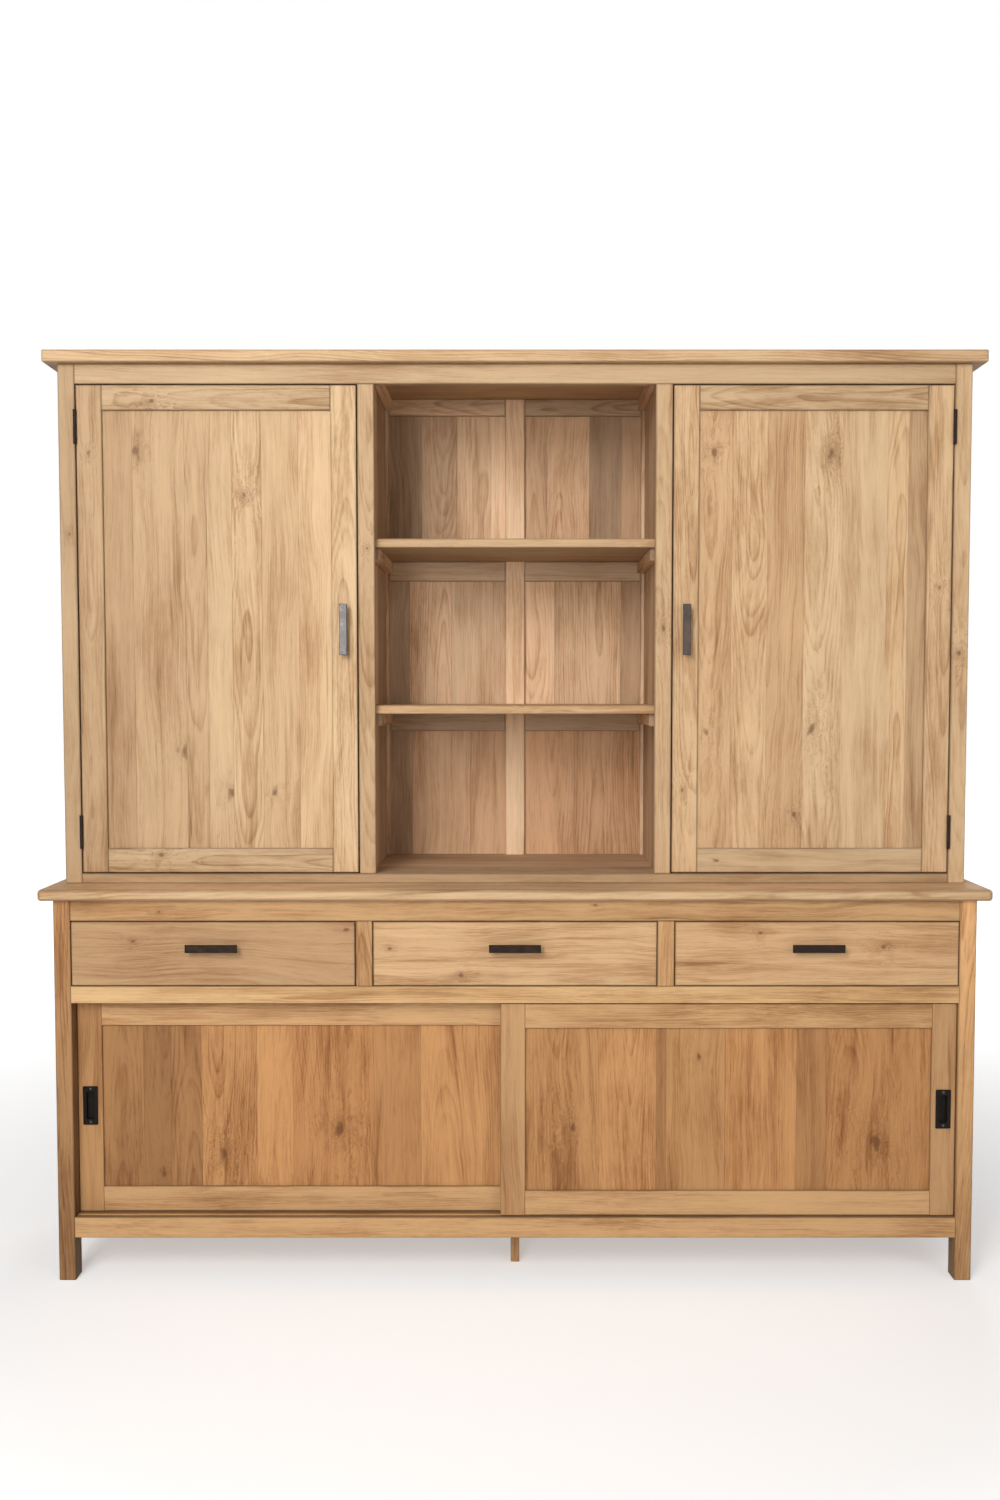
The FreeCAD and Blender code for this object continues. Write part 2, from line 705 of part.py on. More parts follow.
def drawer(name, middle):
    """A flush front on a box whose bottom slides into grooves in the sides and the front."""
    half = bay_width / 2 - s.drawer_gap
    front_y = (face_y, face_y + s.drawer_front_thickness)
    box_y = (front_y[1], face_y + s.drawer_length)
    box_z = above(drawer_z + s.running_gap, s.drawer_side_height)
    bottom_z = above(box_z[0] + s.drawer_bottom_rise, s.drawer_bottom_thickness)
    groove_z = grown(bottom_z, s.panel_clearance)
    inner_x = grown((middle - half, middle + half), -s.drawer_side_thickness)
    bite = s.drawer_groove_depth - s.panel_clearance
    front = plank(f"{name}_front", "x", (middle - half, middle + half), front_y,
                  grown((drawer_z, base_top_z), -s.drawer_gap))
    front.cut("x", grown(inner_x, s.drawer_groove_depth), below(front_y[1], s.drawer_groove_depth), groove_z)
    node(f"{name}_front", [front])
    box = []
    for across, groove_x in (((middle - half, inner_x[0]), below(inner_x[0], s.drawer_groove_depth)),
                             ((inner_x[1], middle + half), above(inner_x[1], s.drawer_groove_depth))):
        wall = plank(f"{name}_side", "y", across, box_y, box_z, s.drawer_ease)
        wall.cut("y", groove_x, box_y, groove_z)
        box.append(wall)
    back_z = (groove_z[1], box_z[1])
    rear_y = below(box_y[1], s.drawer_side_thickness)
    box.append(plank(f"{name}_back", "x", inner_x, rear_y, back_z, s.drawer_ease))
    node(f"{name}_box", box)
    node(f"{name}_bottom", [plank(f"{name}_bottom", "x", grown(inner_x, bite),
                                  (front_y[1] - bite, box_y[1]), bottom_z, s.drawer_ease)])
    bar_handle(f"{name}_handle", middle, face_y, drawer_z + s.drawer_handle_rise, False)


def drawers():
    for name, step in (("left_drawer", LEFT), ("centre_drawer", 0), ("right_drawer", RIGHT)):
        drawer(name, (bay_width + s.stile_width) * step)


# Sliding doors

def flush_pull(name, x, face, z):
    """A screwed plate with round corners round a deep finger cup."""
    plate_x, plate_z = around(x, s.pull_width), around(z, s.pull_height)
    plate_y = below(face, s.pull_plate_thickness)
    hole_x, hole_z = around(x, s.pull_pocket_width), around(z, s.pull_pocket_height)
    hole_y = above(plate_y[0], s.pull_pocket_depth)
    pull = Piece(name, plate_x, plate_y, plate_z)
    pull.add("y", plate_x, plate_y, plate_z)
    pull.dress("Fillet", s.pull_corner, lambda edge, box: runs_along(edge, "y"))
    pull.add("y", grown(hole_x, s.pull_wall), (face, hole_y[1] + s.pull_wall), grown(hole_z, s.pull_wall))
    pull.cut("y", hole_x, hole_y, hole_z)
    reach = (hole_x[0] - plate_x[0]).value
    pull.dress("Fillet", s.pull_pocket_corner, lambda edge, box: runs_along(edge, "y")
               and abs(edge.Vertexes[0].Point.x - box.Center.x) < box.XLength / 2 - reach + 1e-6
               and abs(edge.Length - s.pull_pocket_depth.value) < 1e-6)
    screw_rise = (s.pull_height + s.pull_pocket_height) / 4
    holes = pull.circles("y", plate_y[0], [(x, z - screw_rise), (x, z + screw_rise)], s.pull_screw_radius)
    doc.recompute()
    before = pull.body.Shape.Volume
    pull.grow("Pocket", holes, "y", s.pull_plate_thickness)
    pull.check_cut(before)
    node(name, [pull])


def sliding_door(side, name):
    """A framed door with a tongue along its top and bottom, and a flush pull let into its outer stile."""
    middle_y = door_middle_y(side)
    x = span(side, -s.sliding_overlap / 2, jamb_x - s.sliding_end_gap)
    y = around(middle_y, s.sliding_thickness)
    z = grown((track_z, drawer_rail_z), -s.sliding_edge_gap)
    tongue_y = around(middle_y, s.tongue_thickness)
    lower_tongue = (track_z - s.lower_track_depth + s.running_gap, z[0])
    upper_tongue = (z[1], drawer_rail_z + s.upper_tongue_bite)
    pull_x = (jamb_x - s.sliding_end_gap - s.sliding_stile_width / 2) * side
    pull_z = track_z + s.pull_rise
    inner_x = grown(x, -s.sliding_stile_width)

    def finish(stiles, rails):
        outer = stiles[1] if side == RIGHT else stiles[0]
        cup_depth = s.pull_pocket_depth - s.pull_plate_thickness + s.pull_wall + s.pull_clearance
        room = s.pull_wall + s.pull_clearance
        outer.cut("y", grown(around(pull_x, s.pull_pocket_width), room), above(y[0], cup_depth),
                  grown(around(pull_z, s.pull_pocket_height), room))
        for stile, across in zip(stiles, ((x[0], inner_x[0]), (inner_x[1], x[1]))):
            stile.add("z", across, tongue_y, lower_tongue)
            stile.add("z", across, tongue_y, upper_tongue)
        rails[0].add("z", inner_x, tongue_y, lower_tongue)
        rails[1].add("z", inner_x, tongue_y, upper_tongue)

    framed_door(name, x, y, z, s.sliding_stile_width, s.sliding_rail_height, finish)
    flush_pull(f"{name}_pull", pull_x, y[0], pull_z)


def sliding_doors():
    for side, name in SIDES.items():
        sliding_door(side, f"{name}_sliding_door")


def check_and_write():
    """Refuses a failed feature or an unsound solid, and writes each sub-part to its own file."""
    doc.recompute()
    for item in doc.Objects:
        if "Invalid" in item.State or "Error" in item.State:
            raise RuntimeError(f"{item.Label} failed: {item.State}")
    for label, item in nodes.items():
        if item.Shape.isNull() or not item.Shape.isValid() or not item.Shape.Solids:
            raise RuntimeError(f"{label} has no sound solid")
    os.makedirs("parts", exist_ok=True)
    for label, item in nodes.items():
        item.Shape.exportStep(f"parts/{label}.step")
    print(len(nodes), "sub-parts,", sum(len(item.Shape.Solids) for item in nodes.values()), "solids")


base_legs()
base_front_rails()
base_sides()
base_back()
base_inside()
countertop()
hutch_front()
hutch_walls()
hutch_back()
shelves()
cornice()
hinged_doors()
drawers()
sliding_doors()
check_and_write()
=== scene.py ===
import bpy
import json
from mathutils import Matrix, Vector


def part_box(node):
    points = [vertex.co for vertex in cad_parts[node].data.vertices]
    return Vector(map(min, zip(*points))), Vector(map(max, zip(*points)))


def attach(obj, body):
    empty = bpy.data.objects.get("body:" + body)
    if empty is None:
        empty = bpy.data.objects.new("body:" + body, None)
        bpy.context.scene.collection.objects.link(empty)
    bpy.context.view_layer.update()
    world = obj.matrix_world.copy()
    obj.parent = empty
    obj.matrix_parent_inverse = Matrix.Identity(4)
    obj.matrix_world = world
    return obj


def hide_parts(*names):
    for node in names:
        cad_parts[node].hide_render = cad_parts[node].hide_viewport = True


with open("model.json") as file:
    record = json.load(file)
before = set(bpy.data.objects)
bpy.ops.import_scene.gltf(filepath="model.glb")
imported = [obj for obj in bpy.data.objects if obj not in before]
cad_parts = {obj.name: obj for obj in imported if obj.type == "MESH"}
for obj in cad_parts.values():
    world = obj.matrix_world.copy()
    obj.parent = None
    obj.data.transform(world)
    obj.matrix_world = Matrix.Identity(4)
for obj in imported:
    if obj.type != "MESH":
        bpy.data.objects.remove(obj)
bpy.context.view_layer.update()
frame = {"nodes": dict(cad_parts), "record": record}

import json
import zlib
from math import radians
from types import SimpleNamespace

import bpy
import numpy as np
from bpy.props import FloatProperty, FloatVectorProperty, PointerProperty

bl_info = {
    "name": "Teak hutch cupboard",
    "version": (1, 0, 0),
    "blender": (4, 5, 0),
    "location": "3D View > Sidebar > Cupboard",
    "description": "Dresses a hutch cupboard in staved teak and dark ironwork",
    "category": "Object",
}

X, Y, Z = 0, 1, 2
LOW, HIGH = 0, 1
# A thinner solid is no board, and boxes that overlap by less only touch
FLAT, TOUCH = 1e-5, 1e-6
WHITE = (1.0, 1.0, 1.0, 1.0)


def tint(name, description, default):
    """A setting that is a colour."""
    return FloatVectorProperty(name=name, description=description, subtype="COLOR", default=default)


def amount(name, description, default, **kind):
    """A setting that is a number, with its unit or subtype."""
    return FloatProperty(name=name, description=description, default=default, **kind)


def metres(name, description, default, least=0.0):
    """A setting that is a length."""
    return amount(name, description, default, unit="LENGTH", min=least)


def group(name, kind):
    """A setting that is a group of others."""
    return PointerProperty(name=name, description=kind.__doc__, type=kind)


class TimberSettings(bpy.types.PropertyGroup):
    """Sizes and colours of the boards"""

    hutch_colour: tint("Hutch", "Golden teak of the doors and the hutch frame", (0.61, 0.398, 0.225))
    base_colour: tint("Base", "Warmer teak of the legs, rails and sliding frames", (0.61, 0.35, 0.163))
    drawer_colour: tint("Drawers", "Greyer teak of the drawer fronts", (0.57, 0.345, 0.18))
    panel_colour: tint("Sliding panels", "Deep orange teak of the sliding panels", (0.485, 0.238, 0.094))
    inside_colour: tint("Inside", "Reddish teak of the shelves and the back", (0.66, 0.44, 0.275))
    arris: metres("Arris", "Radius of the worn edges of a board", 0.0018)
    joint_arris: metres("Joint arris", "Radius of the edges where two staves are glued", 0.0005)
    counter_nose: metres("Counter nose", "Radius of the counter's rounded edge", 0.005)
    cornice_nose: metres("Cornice edge", "Radius of the cornice's eased edge", 0.002)
    ring_spacing: metres("Ring spacing", "Width of one year's growth in the teak", 0.0062, 0.001)
    stave_width: metres("Stave width", "Usual width of the staves in hidden boards", 0.105, 0.02)
    hollow: metres("Plane marks", "Depth of the shallow hollows left on a planed face", 0.00018)


class IronSettings(bpy.types.PropertyGroup):
    """Colours and screws of the ironwork"""

    colour: tint("Iron", "Blackened iron of the door handles", (0.030, 0.018, 0.011))
    brown_colour: tint("Drawer handles", "Brown black iron of the drawer handles and hinges",
                       (0.021, 0.014, 0.010))
    pull_colour: tint("Pulls", "Blacker iron of the flush pulls", (0.008, 0.006, 0.005))
    screw_radius: metres("Screw head", "Radius of a domed screw head", 0.0031, 0.001)
    screw_rise: metres("Screw dome", "Height of a screw head above its plate", 0.0007)
    screw_inset: metres("Screw inset", "From the end of a pull's plate to the middle of its screw", 0.0065)
    slot_width: metres("Screw slot", "Width of the slot in a screw head", 0.0009)


class StageSettings(bpy.types.PropertyGroup):
    """Floor, lamps and camera"""

    floor_colour: tint("Floor", "Pale floor and backdrop", (0.86, 0.86, 0.86))
    floor_reach: metres("Floor reach", "Half the width of the floor", 16.0)
    shadow_reach: metres("Shadow reach", "From the middle to where the floor starts to fade to white", 1.2)
    fade_reach: metres("Fade reach", "From the middle to where the floor is as white as the room", 4.0)
    key_power: amount("Key lamp", "Power of the high lamp on the left", 104.0, unit="POWER")
    side_power: amount("Side lamp", "Power of the lamp that the left handle mirrors", 44.0, unit="POWER")
    fill_power: amount("Fill lamp", "Power of the large lamp on the right", 34.0, unit="POWER")
    top_power: amount("Top lamp", "Power of the lamp overhead", 17.0, unit="POWER")
    back_power: amount("Back lamp", "Power of the lamp behind the cupboard", 60.0, unit="POWER")
    world_strength: amount("Room light", "Strength of the light from all round", 0.11)
    camera_distance: metres("Camera distance", "From the front of the counter to the lens", 3.0)
    camera_height: metres("Camera height", "Height of the lens above the floor", 1.3823)
    camera_pitch: amount("Camera pitch", "How far the camera looks down", radians(2.888), subtype="ANGLE")
    focal_length: amount("Lens", "Focal length on a 36 mm sensor", 31.47, unit="CAMERA")
    shift_x: amount("Shift across", "Share of the frame's long side", -0.010)
    shift_y: amount("Shift up", "Share of the frame's long side", 0.0052)


class CupboardSettings(bpy.types.PropertyGroup):
    """All that a user would change"""

    timber: group("Timber", TimberSettings)
    iron: group("Iron", IronSettings)
    stage: group("Stage", StageSettings)


def timber_settings():
    """The boards' settings in the open scene."""
    return bpy.context.scene.cupboard.timber


# Reading the frame

def solids(node):
    """The low and high corners of each solid of a node, from left to right and then upwards.

    Two triangles belong together where they share an edge that no third triangle has. Each triangle takes the
    lowest number among its neighbours until nothing changes, so each solid ends with one number.
    """
    mesh = frame["nodes"][node].data
    points = np.empty(len(mesh.vertices) * 3)
    mesh.vertices.foreach_get("co", points)
    points = points.reshape(-1, 3)
    corners = np.empty(len(mesh.loops), dtype=np.int64)
    mesh.loops.foreach_get("vertex_index", corners)
    corners = corners.reshape(-1, 3)
    place = np.unique(np.round(points, 6), axis=0, return_inverse=True)[1].reshape(-1)[corners]
    sides = np.sort(np.stack([place, np.roll(place, 1, axis=1)], axis=2).reshape(-1, 2), axis=1)
    edge, count = np.unique(sides, axis=0, return_inverse=True, return_counts=True)[1:]
    edge = edge.reshape(-1)
    order = np.argsort(edge, kind="stable")
    shared = order[count[edge[order]] == 2]
    pairs = (shared // 3).reshape(-1, 2)
    label = np.arange(len(corners))
    settled = False
    while not settled:
        lowest = label.copy()
        np.minimum.at(lowest, pairs.ravel(), np.repeat(label[pairs].min(axis=1), 2))
        lowest = lowest[lowest]
        settled = np.array_equal(lowest, label)
        label = lowest
    boxes = []
    for number in np.unique(label):
        part = points[corners[label == number].ravel()]
        box = np.array([part.min(axis=0), part.max(axis=0)])
        if (box[HIGH] - box[LOW]).min() > FLAT:
            boxes.append(box)
    return sorted(boxes, key=lambda box: (round(box[LOW][X], 3), round(box[LOW][Z], 3)))


def body_of(node):
    """The moving body that carries a node."""
    bodies = frame["record"]["behaviour"]["bodies"]
    return next(name for name, members in bodies.items() if node in members)


def slot_of(node):
    """The record's material slot of a node."""
    return next(part["material_slot"] for part in frame["record"]["subparts"] if part["node"] == node)


def seeded(name):
    """Random numbers that depend on a name alone."""
    return np.random.default_rng(zlib.crc32(name.encode()))


def crosswise(axis):
    """The two axes across another."""
    return [other for other in (X, Y, Z) if other != axis]


def long_axis(box):
    """The axis along which a box is longest."""
    return int(np.argmax(box[HIGH] - box[LOW]))


def placed(name, data):
    """An object of the given data, put in the scene."""
    thing = bpy.data.objects.new(name, data)
    bpy.context.scene.collection.objects.link(thing)
    return thing


def mesh_piece(name, points, faces, material):
    """An object of one mesh and one material, put in the scene."""
    mesh = bpy.data.meshes.new(name)
    mesh.from_pydata(points, [], faces)
    mesh.materials.append(material)
    return placed(name, mesh)


# Boards

# How far apart points on a board lie at most, and how far inside an edge a face is flat
PITCH = 0.07
SHOULDER = 0.0016
# Long faces by number: the underside of a level board, and the sides of an upright one
UNDERSIDE = 0
RIGHT_FACE, LEFT_FACE = 1, 3
# How dark edges are: painted shade on edges and ends, glue joints of staves, and joints in the hutch's back
EDGE_SHADE, GLUE_LINE, WALL_LINE = 0.55, 0.17, 0.30
# How much painted shade a narrow face gets, one in a gap between two pieces, and one turned to the floor
SIDE_SHADE, GAP_SHADE, UNDER_SHADE = 0.35, 0.90, 0.60
# Usual width of the strips in the cornice and the counter
STRIP_WIDTH = 0.13
# How far a glue line may lie from its even place, in widths of a stave
CUT_STRAY = 0.28
# Directions round a long edge, and round an end
ARC_TURNS = np.radians([0, 30, 60, 90])
END_TURNS = np.radians([80, 50, 25, 0])
# How many radians the two hollows in a planed face turn in a metre
HOLLOW_TURNS = (7, 17)
# How far the tones of staves stray: those left to chance, and those given one by one
STAVE_SPREAD, LOOK_SPREAD = 0.22, 0.03
# How far the tones and the hues of the back stray behind the doors
CLOSED_TONES, CLOSED_HUES = 0.25, 0.6
# A knot out of reach: how far it is across and along, and its radius
NO_KNOT = (1.0, 1.0, 0.01)
# Limits of a chance knot: the chance, shares of the length and the width, and the radius
KNOT_LOW, KNOT_HIGH = (0, 0.08, 0.25, 0.003), (1, 0.92, 0.75, 0.0055)


def board(box, rng, tone, spread, axis, hue=0.0, line=EDGE_SHADE, sides=0.0, fade=0.0, knots=(),
          arched=None, glued=False, radii=None, ends=None):
    """All that describes one board: its box, its grain and its edges.

    The pith of the log lies behind the face of some boards, where the rings come out as arches, and far to
    one side of the others, whose grain is straight. Where arched isn't given, chance decides. The line is how
    dark the rounded edges and the ends are: painted shade at the default, a dark glue joint where a stave's
    line is given. The sides are how much painted shade the two narrow faces along the grain get, and the
    fade how much lighter the high end is than the low one. A glued board has fine edges where no radii are
    given.
    """
    box = np.array(box)
    size = box[HIGH] - box[LOW]
    across = crosswise(axis)
    thin, wide = sorted(across, key=lambda way: size[way])
    by_chance = rng.random() < 0.5
    arched = by_chance if arched is None else arched
    aside = rng.normal(0, 0.22) * size[wide] if arched else rng.choice([-1, 1]) * rng.uniform(0.06, 0.22)
    depth = rng.uniform(0.02, 0.05) if arched else rng.uniform(-0.04, 0.04)
    lean = rng.choice([-1, 1]) * rng.uniform(0.02, 0.07) if arched else rng.normal(0, 0.01)
    return SimpleNamespace(
        box=box, axis=axis, wide=wide, thin=thin, glued=glued, radii=radii, ends=ends, line=line, fade=fade,
        knots=list(knots), dark=[sides if face % 2 == across.index(thin) else 0.0 for face in range(4)],
        pith=(aside, depth), lean=(rng.normal(0, 0.012), lean), start=rng.uniform(-20, 20),
        tone=tone + rng.normal(0, spread), hue=hue + rng.normal(0, 0.15),
        rings=rng.uniform(0.8, 1.3) if arched else rng.uniform(0.2, 0.7),
        waves=rng.uniform(0, 2 * np.pi, 2))


def board_outline(plank, half, radii):
    """The outline of a board across its grain: a rectangle with arcs, corner + radius (cos, sin).

    It gives each point's place and normal, whether the point is on an edge, and how dark it is.
    """
    signs = np.array([(-1, -1), (1, -1), (1, 1), (-1, 1)])
    stretches = []
    for face in range(4):
        turn = ARC_TURNS + np.pi + face * np.pi / 2
        arc = np.stack([np.cos(turn), np.sin(turn)], axis=1)
        bend = signs[face] * (half - radii[face]) + radii[face] * arc
        stretches.append((bend, arc, np.ones(len(arc)), np.full(len(arc), plank.line)))
        after = (face + 1) % 4
        begin = bend[-1]
        finish = signs[after] * (half - radii[after]) + radii[after] * arc[-1]
        length = np.linalg.norm(finish - begin)
        steps = int(np.ceil(length / PITCH))
        inner = np.linspace(0, 1, steps + 1)[1:-1]
        rim = min(SHOULDER / length, 0.3)
        share = np.unique(np.concatenate([[rim], inner[(inner > rim) & (inner < 1 - rim)], [1 - rim]]))
        stretches.append((begin + share[:, None] * (finish - begin), np.repeat(arc[-1:], len(share), axis=0),
                          np.zeros(len(share)), np.full(len(share), plank.dark[face])))
    return [np.concatenate(parts) for parts in zip(*stretches)]


def board_surface(plank):
    """Points, faces and grain of one board.

    The outline is carried along the grain. Near an end it is drawn in by end (1 - cos) at a distance
    end (1 - sin), which rounds the end. A slow sum of two sines along the board hollows its faces a little.
    """
    timber = timber_settings()
    arris = timber.joint_arris if plank.glued else timber.arris
    axis = plank.axis
    across = crosswise(axis)
    low, high = plank.box
    middle = (low + high) / 2
    half = (high - low)[across] / 2
    limit = 0.9 * half.min()
    radii = np.minimum(plank.radii or [arris] * 4, limit)
    end = min(plank.ends or arris, limit)
    loop, normal, edge, dark = board_outline(plank, half, radii)
    span = high[axis] - low[axis]
    inset = end + SHOULDER
    steps = max(int(np.ceil((span - 2 * inset) / PITCH)), 1)
    straight = np.linspace(inset, span - inset, steps + 1)
    set_back = end * (1 - np.sin(END_TURNS))
    drawn_in = end * (1 - np.cos(END_TURNS))
    run = np.concatenate([set_back, straight, span - set_back[::-1]])
    draw = np.concatenate([drawn_in, 0 * straight, drawn_in[::-1]])
    at_end = np.concatenate([np.ones(len(END_TURNS)), 0 * straight, np.ones(len(END_TURNS))])
    squeeze = 1 - draw[:, None] / half
    if plank.glued:
        squeeze[:, across.index(plank.wide)] = 1
    hollow = sum(np.sin(turns * run + start) for turns, start in zip(HOLLOW_TURNS, plank.waves))
    sag = timber.hollow * np.abs(hollow * (1 - at_end))[:, None] * (1 - edge)
    flat = loop * squeeze[:, None] - sag[:, :, None] * normal
    points = np.empty((len(run), len(loop), 3))
    points[:, :, across] = flat + middle[across]
    points[:, :, axis] = (low[axis] + run)[:, None]
    index = np.arange(len(run) * len(loop)).reshape(len(run), len(loop))
    beside = np.roll(index, -1, axis=1)
    quads = np.stack([index[:-1], beside[:-1], beside[1:], index[1:]], axis=2).reshape(-1, 4)
    faces = [*quads.tolist(), index[0, ::-1].tolist(), index[-1].tolist()]
    if axis == Y:
        faces = [face[::-1] for face in faces]
    points = points.reshape(-1, 3)
    along = points[:, axis] - middle[axis]
    grain = np.empty_like(points)
    for part, way in enumerate((plank.wide, plank.thin)):
        from_pith = points[:, way] - middle[way] + plank.pith[part]
        grain[:, part] = from_pith + plank.lean[part] * along
    grain[:, 2] = along + plank.start
    knots = np.tile(NO_KNOT, (2, len(points), 1))
    for layer, (across_place, along_place, radius) in zip(knots, plank.knots):
        layer[:, 0] = points[:, plank.wide] - across_place
        layer[:, 1] = points[:, axis] - along_place
        layer[:, 2] = radius
    look = np.empty_like(points)
    look[:, 0] = plank.tone + plank.fade * along / span
    look[:, 1] = plank.hue
    look[:, 2] = np.maximum(dark[None, :], plank.line * at_end[:, None]).ravel()
    rings = np.full(len(points), plank.rings)
    return points, faces, grain, *knots, look, rings


def timber_piece(material, node, planks):
    """One object of all the boards of a node, which it stands for."""
    points, faces, grain, knot, other_knot, look, rings = zip(*map(board_surface, planks))
    starts = np.cumsum([0, *(len(part) for part in points)])
    joined = [[corner + start for corner in face] for part, start in zip(faces, starts) for face in part]
    piece = mesh_piece(f"{node}_boards", np.concatenate(points), joined, material)
    mesh = piece.data
    for name, parts in (("grain", grain), ("knot", knot), ("other_knot", other_knot), ("look", look)):
        values = np.concatenate(parts).ravel()
        mesh.attributes.new(name, "FLOAT_VECTOR", "POINT").data.foreach_set("vector", values)
    mesh.attributes.new("rings", "FLOAT", "POINT").data.foreach_set("value", np.concatenate(rings))
    mesh.shade_smooth()
    piece.modifiers.new("Even faces", "WEIGHTED_NORMAL").keep_sharp = False
    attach(piece, body_of(node))
    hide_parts(node)


# Materials

class Recipe:
    """The node tree of a material or of the world, built link by link."""

    def __init__(self, owner, shader="Principled BSDF"):
        owner.use_nodes = True
        self.owner = owner
        self.tree = owner.node_tree
        self.shader = self.tree.nodes[shader]

    def node(self, kind, **fields):
        made = self.tree.nodes.new(kind)
        for field, value in fields.items():
            setattr(made, field, value)
        return made

    def feed(self, socket, value):
        if isinstance(value, bpy.types.NodeSocket):
            self.tree.links.new(value, socket)
        else:
            socket.default_value = value

    def fill(self, node, inputs):
        for name, value in inputs.items():
            self.feed(node.inputs[name], value)
        return node.outputs[0]

    def math(self, operation, *values):
        return self.fill(self.node("ShaderNodeMath", operation=operation), dict(enumerate(values)))

    def sway(self, value, noise, share):
        return self.math("MULTIPLY_ADD", self.math("SUBTRACT", noise, 0.5), share, value)

    def distance(self, first, second):
        squares = [self.math("POWER", part, 2.0) for part in (first, second)]
        return self.math("SQRT", self.math("ADD", *squares))

    def vector(self, operation, first, second):
        return self.fill(self.node("ShaderNodeVectorMath", operation=operation), {0: first, 1: second})

    def split(self, vector):
        made = self.node("ShaderNodeSeparateXYZ")
        self.feed(made.inputs[0], vector)
        return made.outputs

    def join(self, *parts):
        return self.fill(self.node("ShaderNodeCombineXYZ"), dict(enumerate(parts)))

    def attribute(self, name, output="Vector"):
        return self.node("ShaderNodeAttribute", attribute_name=name).outputs[output]

    def noise(self, vector, across, along, detail=2.0, roughness=0.5):
        stretched = self.vector("MULTIPLY", vector, (across, across, along))
        return self.fill(self.node("ShaderNodeTexNoise"), {
            "Vector": stretched, "Scale": 1.0, "Detail": detail, "Roughness": roughness})

    def bump(self, height, strength, distance):
        return self.fill(self.node("ShaderNodeBump"), {
            "Height": height, "Strength": strength, "Distance": distance})

    def span(self, value, low, high, start=0.0, end=1.0):
        return self.fill(self.node("ShaderNodeMapRange"), dict(enumerate((value, low, high, start, end))))

    def ramp(self, value, stops):
        made = self.node("ShaderNodeValToRGB")
        elements = made.color_ramp.elements
        while len(elements) < len(stops):
            elements.new(0.5)
        for element, (place, colour) in zip(elements, stops):
            element.position = place
            element.color = (*colour, 1.0)
        return self.fill(made, {0: value})

    def mix(self, share, first, second, blend="MIX"):
        made = self.node("ShaderNodeMix", data_type="RGBA", blend_type=blend)
        self.feed(made.inputs[0], share)
        # Inputs 6 and 7 and output 2 are the ones for colours
        for socket, value in zip((made.inputs[6], made.inputs[7]), (first, second)):
            self.feed(socket, (*value, 1.0) if isinstance(value, tuple) else value)
        return made.outputs[2]


def shade(colour, red, green, blue):
    """A colour with each of its parts scaled."""
    return tuple(min(part * scale, 1.0) for part, scale in zip(colour, (red, green, blue)))


def knot_distance(make, layer):
    """The distance to a knot in its own radii, with the knot half as long again along the grain."""
    side, along, radius = make.split(make.attribute(layer))
    long_radius = make.math("MULTIPLY", radius, 1.5)
    return make.distance(make.math("DIVIDE", side, radius), make.math("DIVIDE", along, long_radius))


def nearest_knot(make, grain):
    """The distance to the nearer of a board's two knots, changed by noise so that none is round."""
    near = make.math("MINIMUM", *(knot_distance(make, layer) for layer in ("knot", "other_knot")))
    lump = make.noise(grain, 75.0, 40.0)
    return make.math("MULTIPLY", near, make.span(lump, 0.3, 0.7, 0.45, 1.75))


# Noise in the figure: its scales across and along the grain, detail, roughness and share
TEAK_LAYERS = {
    "cloud": (8.0, 2.8, 5.0, 0.6, 1.25),
    "band": (30.0, 1.7, 3.0, 0.55, 0.80),
    "streak": (110.0, 3.2, 3.0, 0.6, 0.60),
    "strand": (260.0, 9.0, 2.0, 0.6, 0.55),
    "fibre": (620.0, 26.0, 2.0, 0.6, 0.45),
}
# Marks in the wood: the same, with the noise where a mark starts and is full before the share
TEAK_MARKS = {
    "pores": (1500.0, 50.0, 1.0, 0.5, 0.60, 0.70, 0.10),
    "stain": (40.0, 1.6, 2.0, 0.5, 0.62, 0.76, 0.34),
    "pale": (62.0, 2.6, 3.0, 0.6, 0.56, 0.74, -0.26),
}
# From the pale early wood to the dark late wood, as shares of the board's own colour
TEAK_STOPS = ((0.0, (1.15, 1.19, 1.17)), (0.30, (1.03, 1.05, 1.04)), (0.58, (0.84, 0.78, 0.70)),
              (1.0, (0.51, 0.41, 0.31)))
# What the coolest and the warmest boards are tinted with
COOL_WOOD, WARM_WOOD = (0.965, 1.01, 1.04), (1.09, 0.945, 0.83)
# A knot's smear and its heart, as shares of the board's own colour
KNOT_HALO, KNOT_HEART = (0.52, 0.42, 0.34), (0.30, 0.22, 0.16)
# Where a piece without log coordinates lies in its log, and how strong its rings are
LOG_PLACE, LOG_RINGS = (0.113, 0.31, 5.0), 0.6
# How dark the wood is through one year's ring
RING_STOPS = ((0.0, 0.45), (0.14, 0.0), (0.50, 0.14), (0.84, 0.80), (0.94, 1.0), (1.0, 0.45))


def late_wood(make, away, strong):
    """How far a point lies in the dark end of its ring. Some years are darker than others."""
    count = make.math("DIVIDE", away, timber_settings().ring_spacing)
    year = make.node("ShaderNodeTexWhiteNoise", noise_dimensions="1D")
    make.feed(year.inputs["W"], make.math("FLOOR", count))
    late = make.ramp(make.math("FRACT", count), [(place, (level,) * 3) for place, level in RING_STOPS])
    late = make.math("MULTIPLY", late, make.span(year.outputs["Value"], 0.0, 1.0, 0.15, 1.0))
    return make.math("MULTIPLY", late, strong)


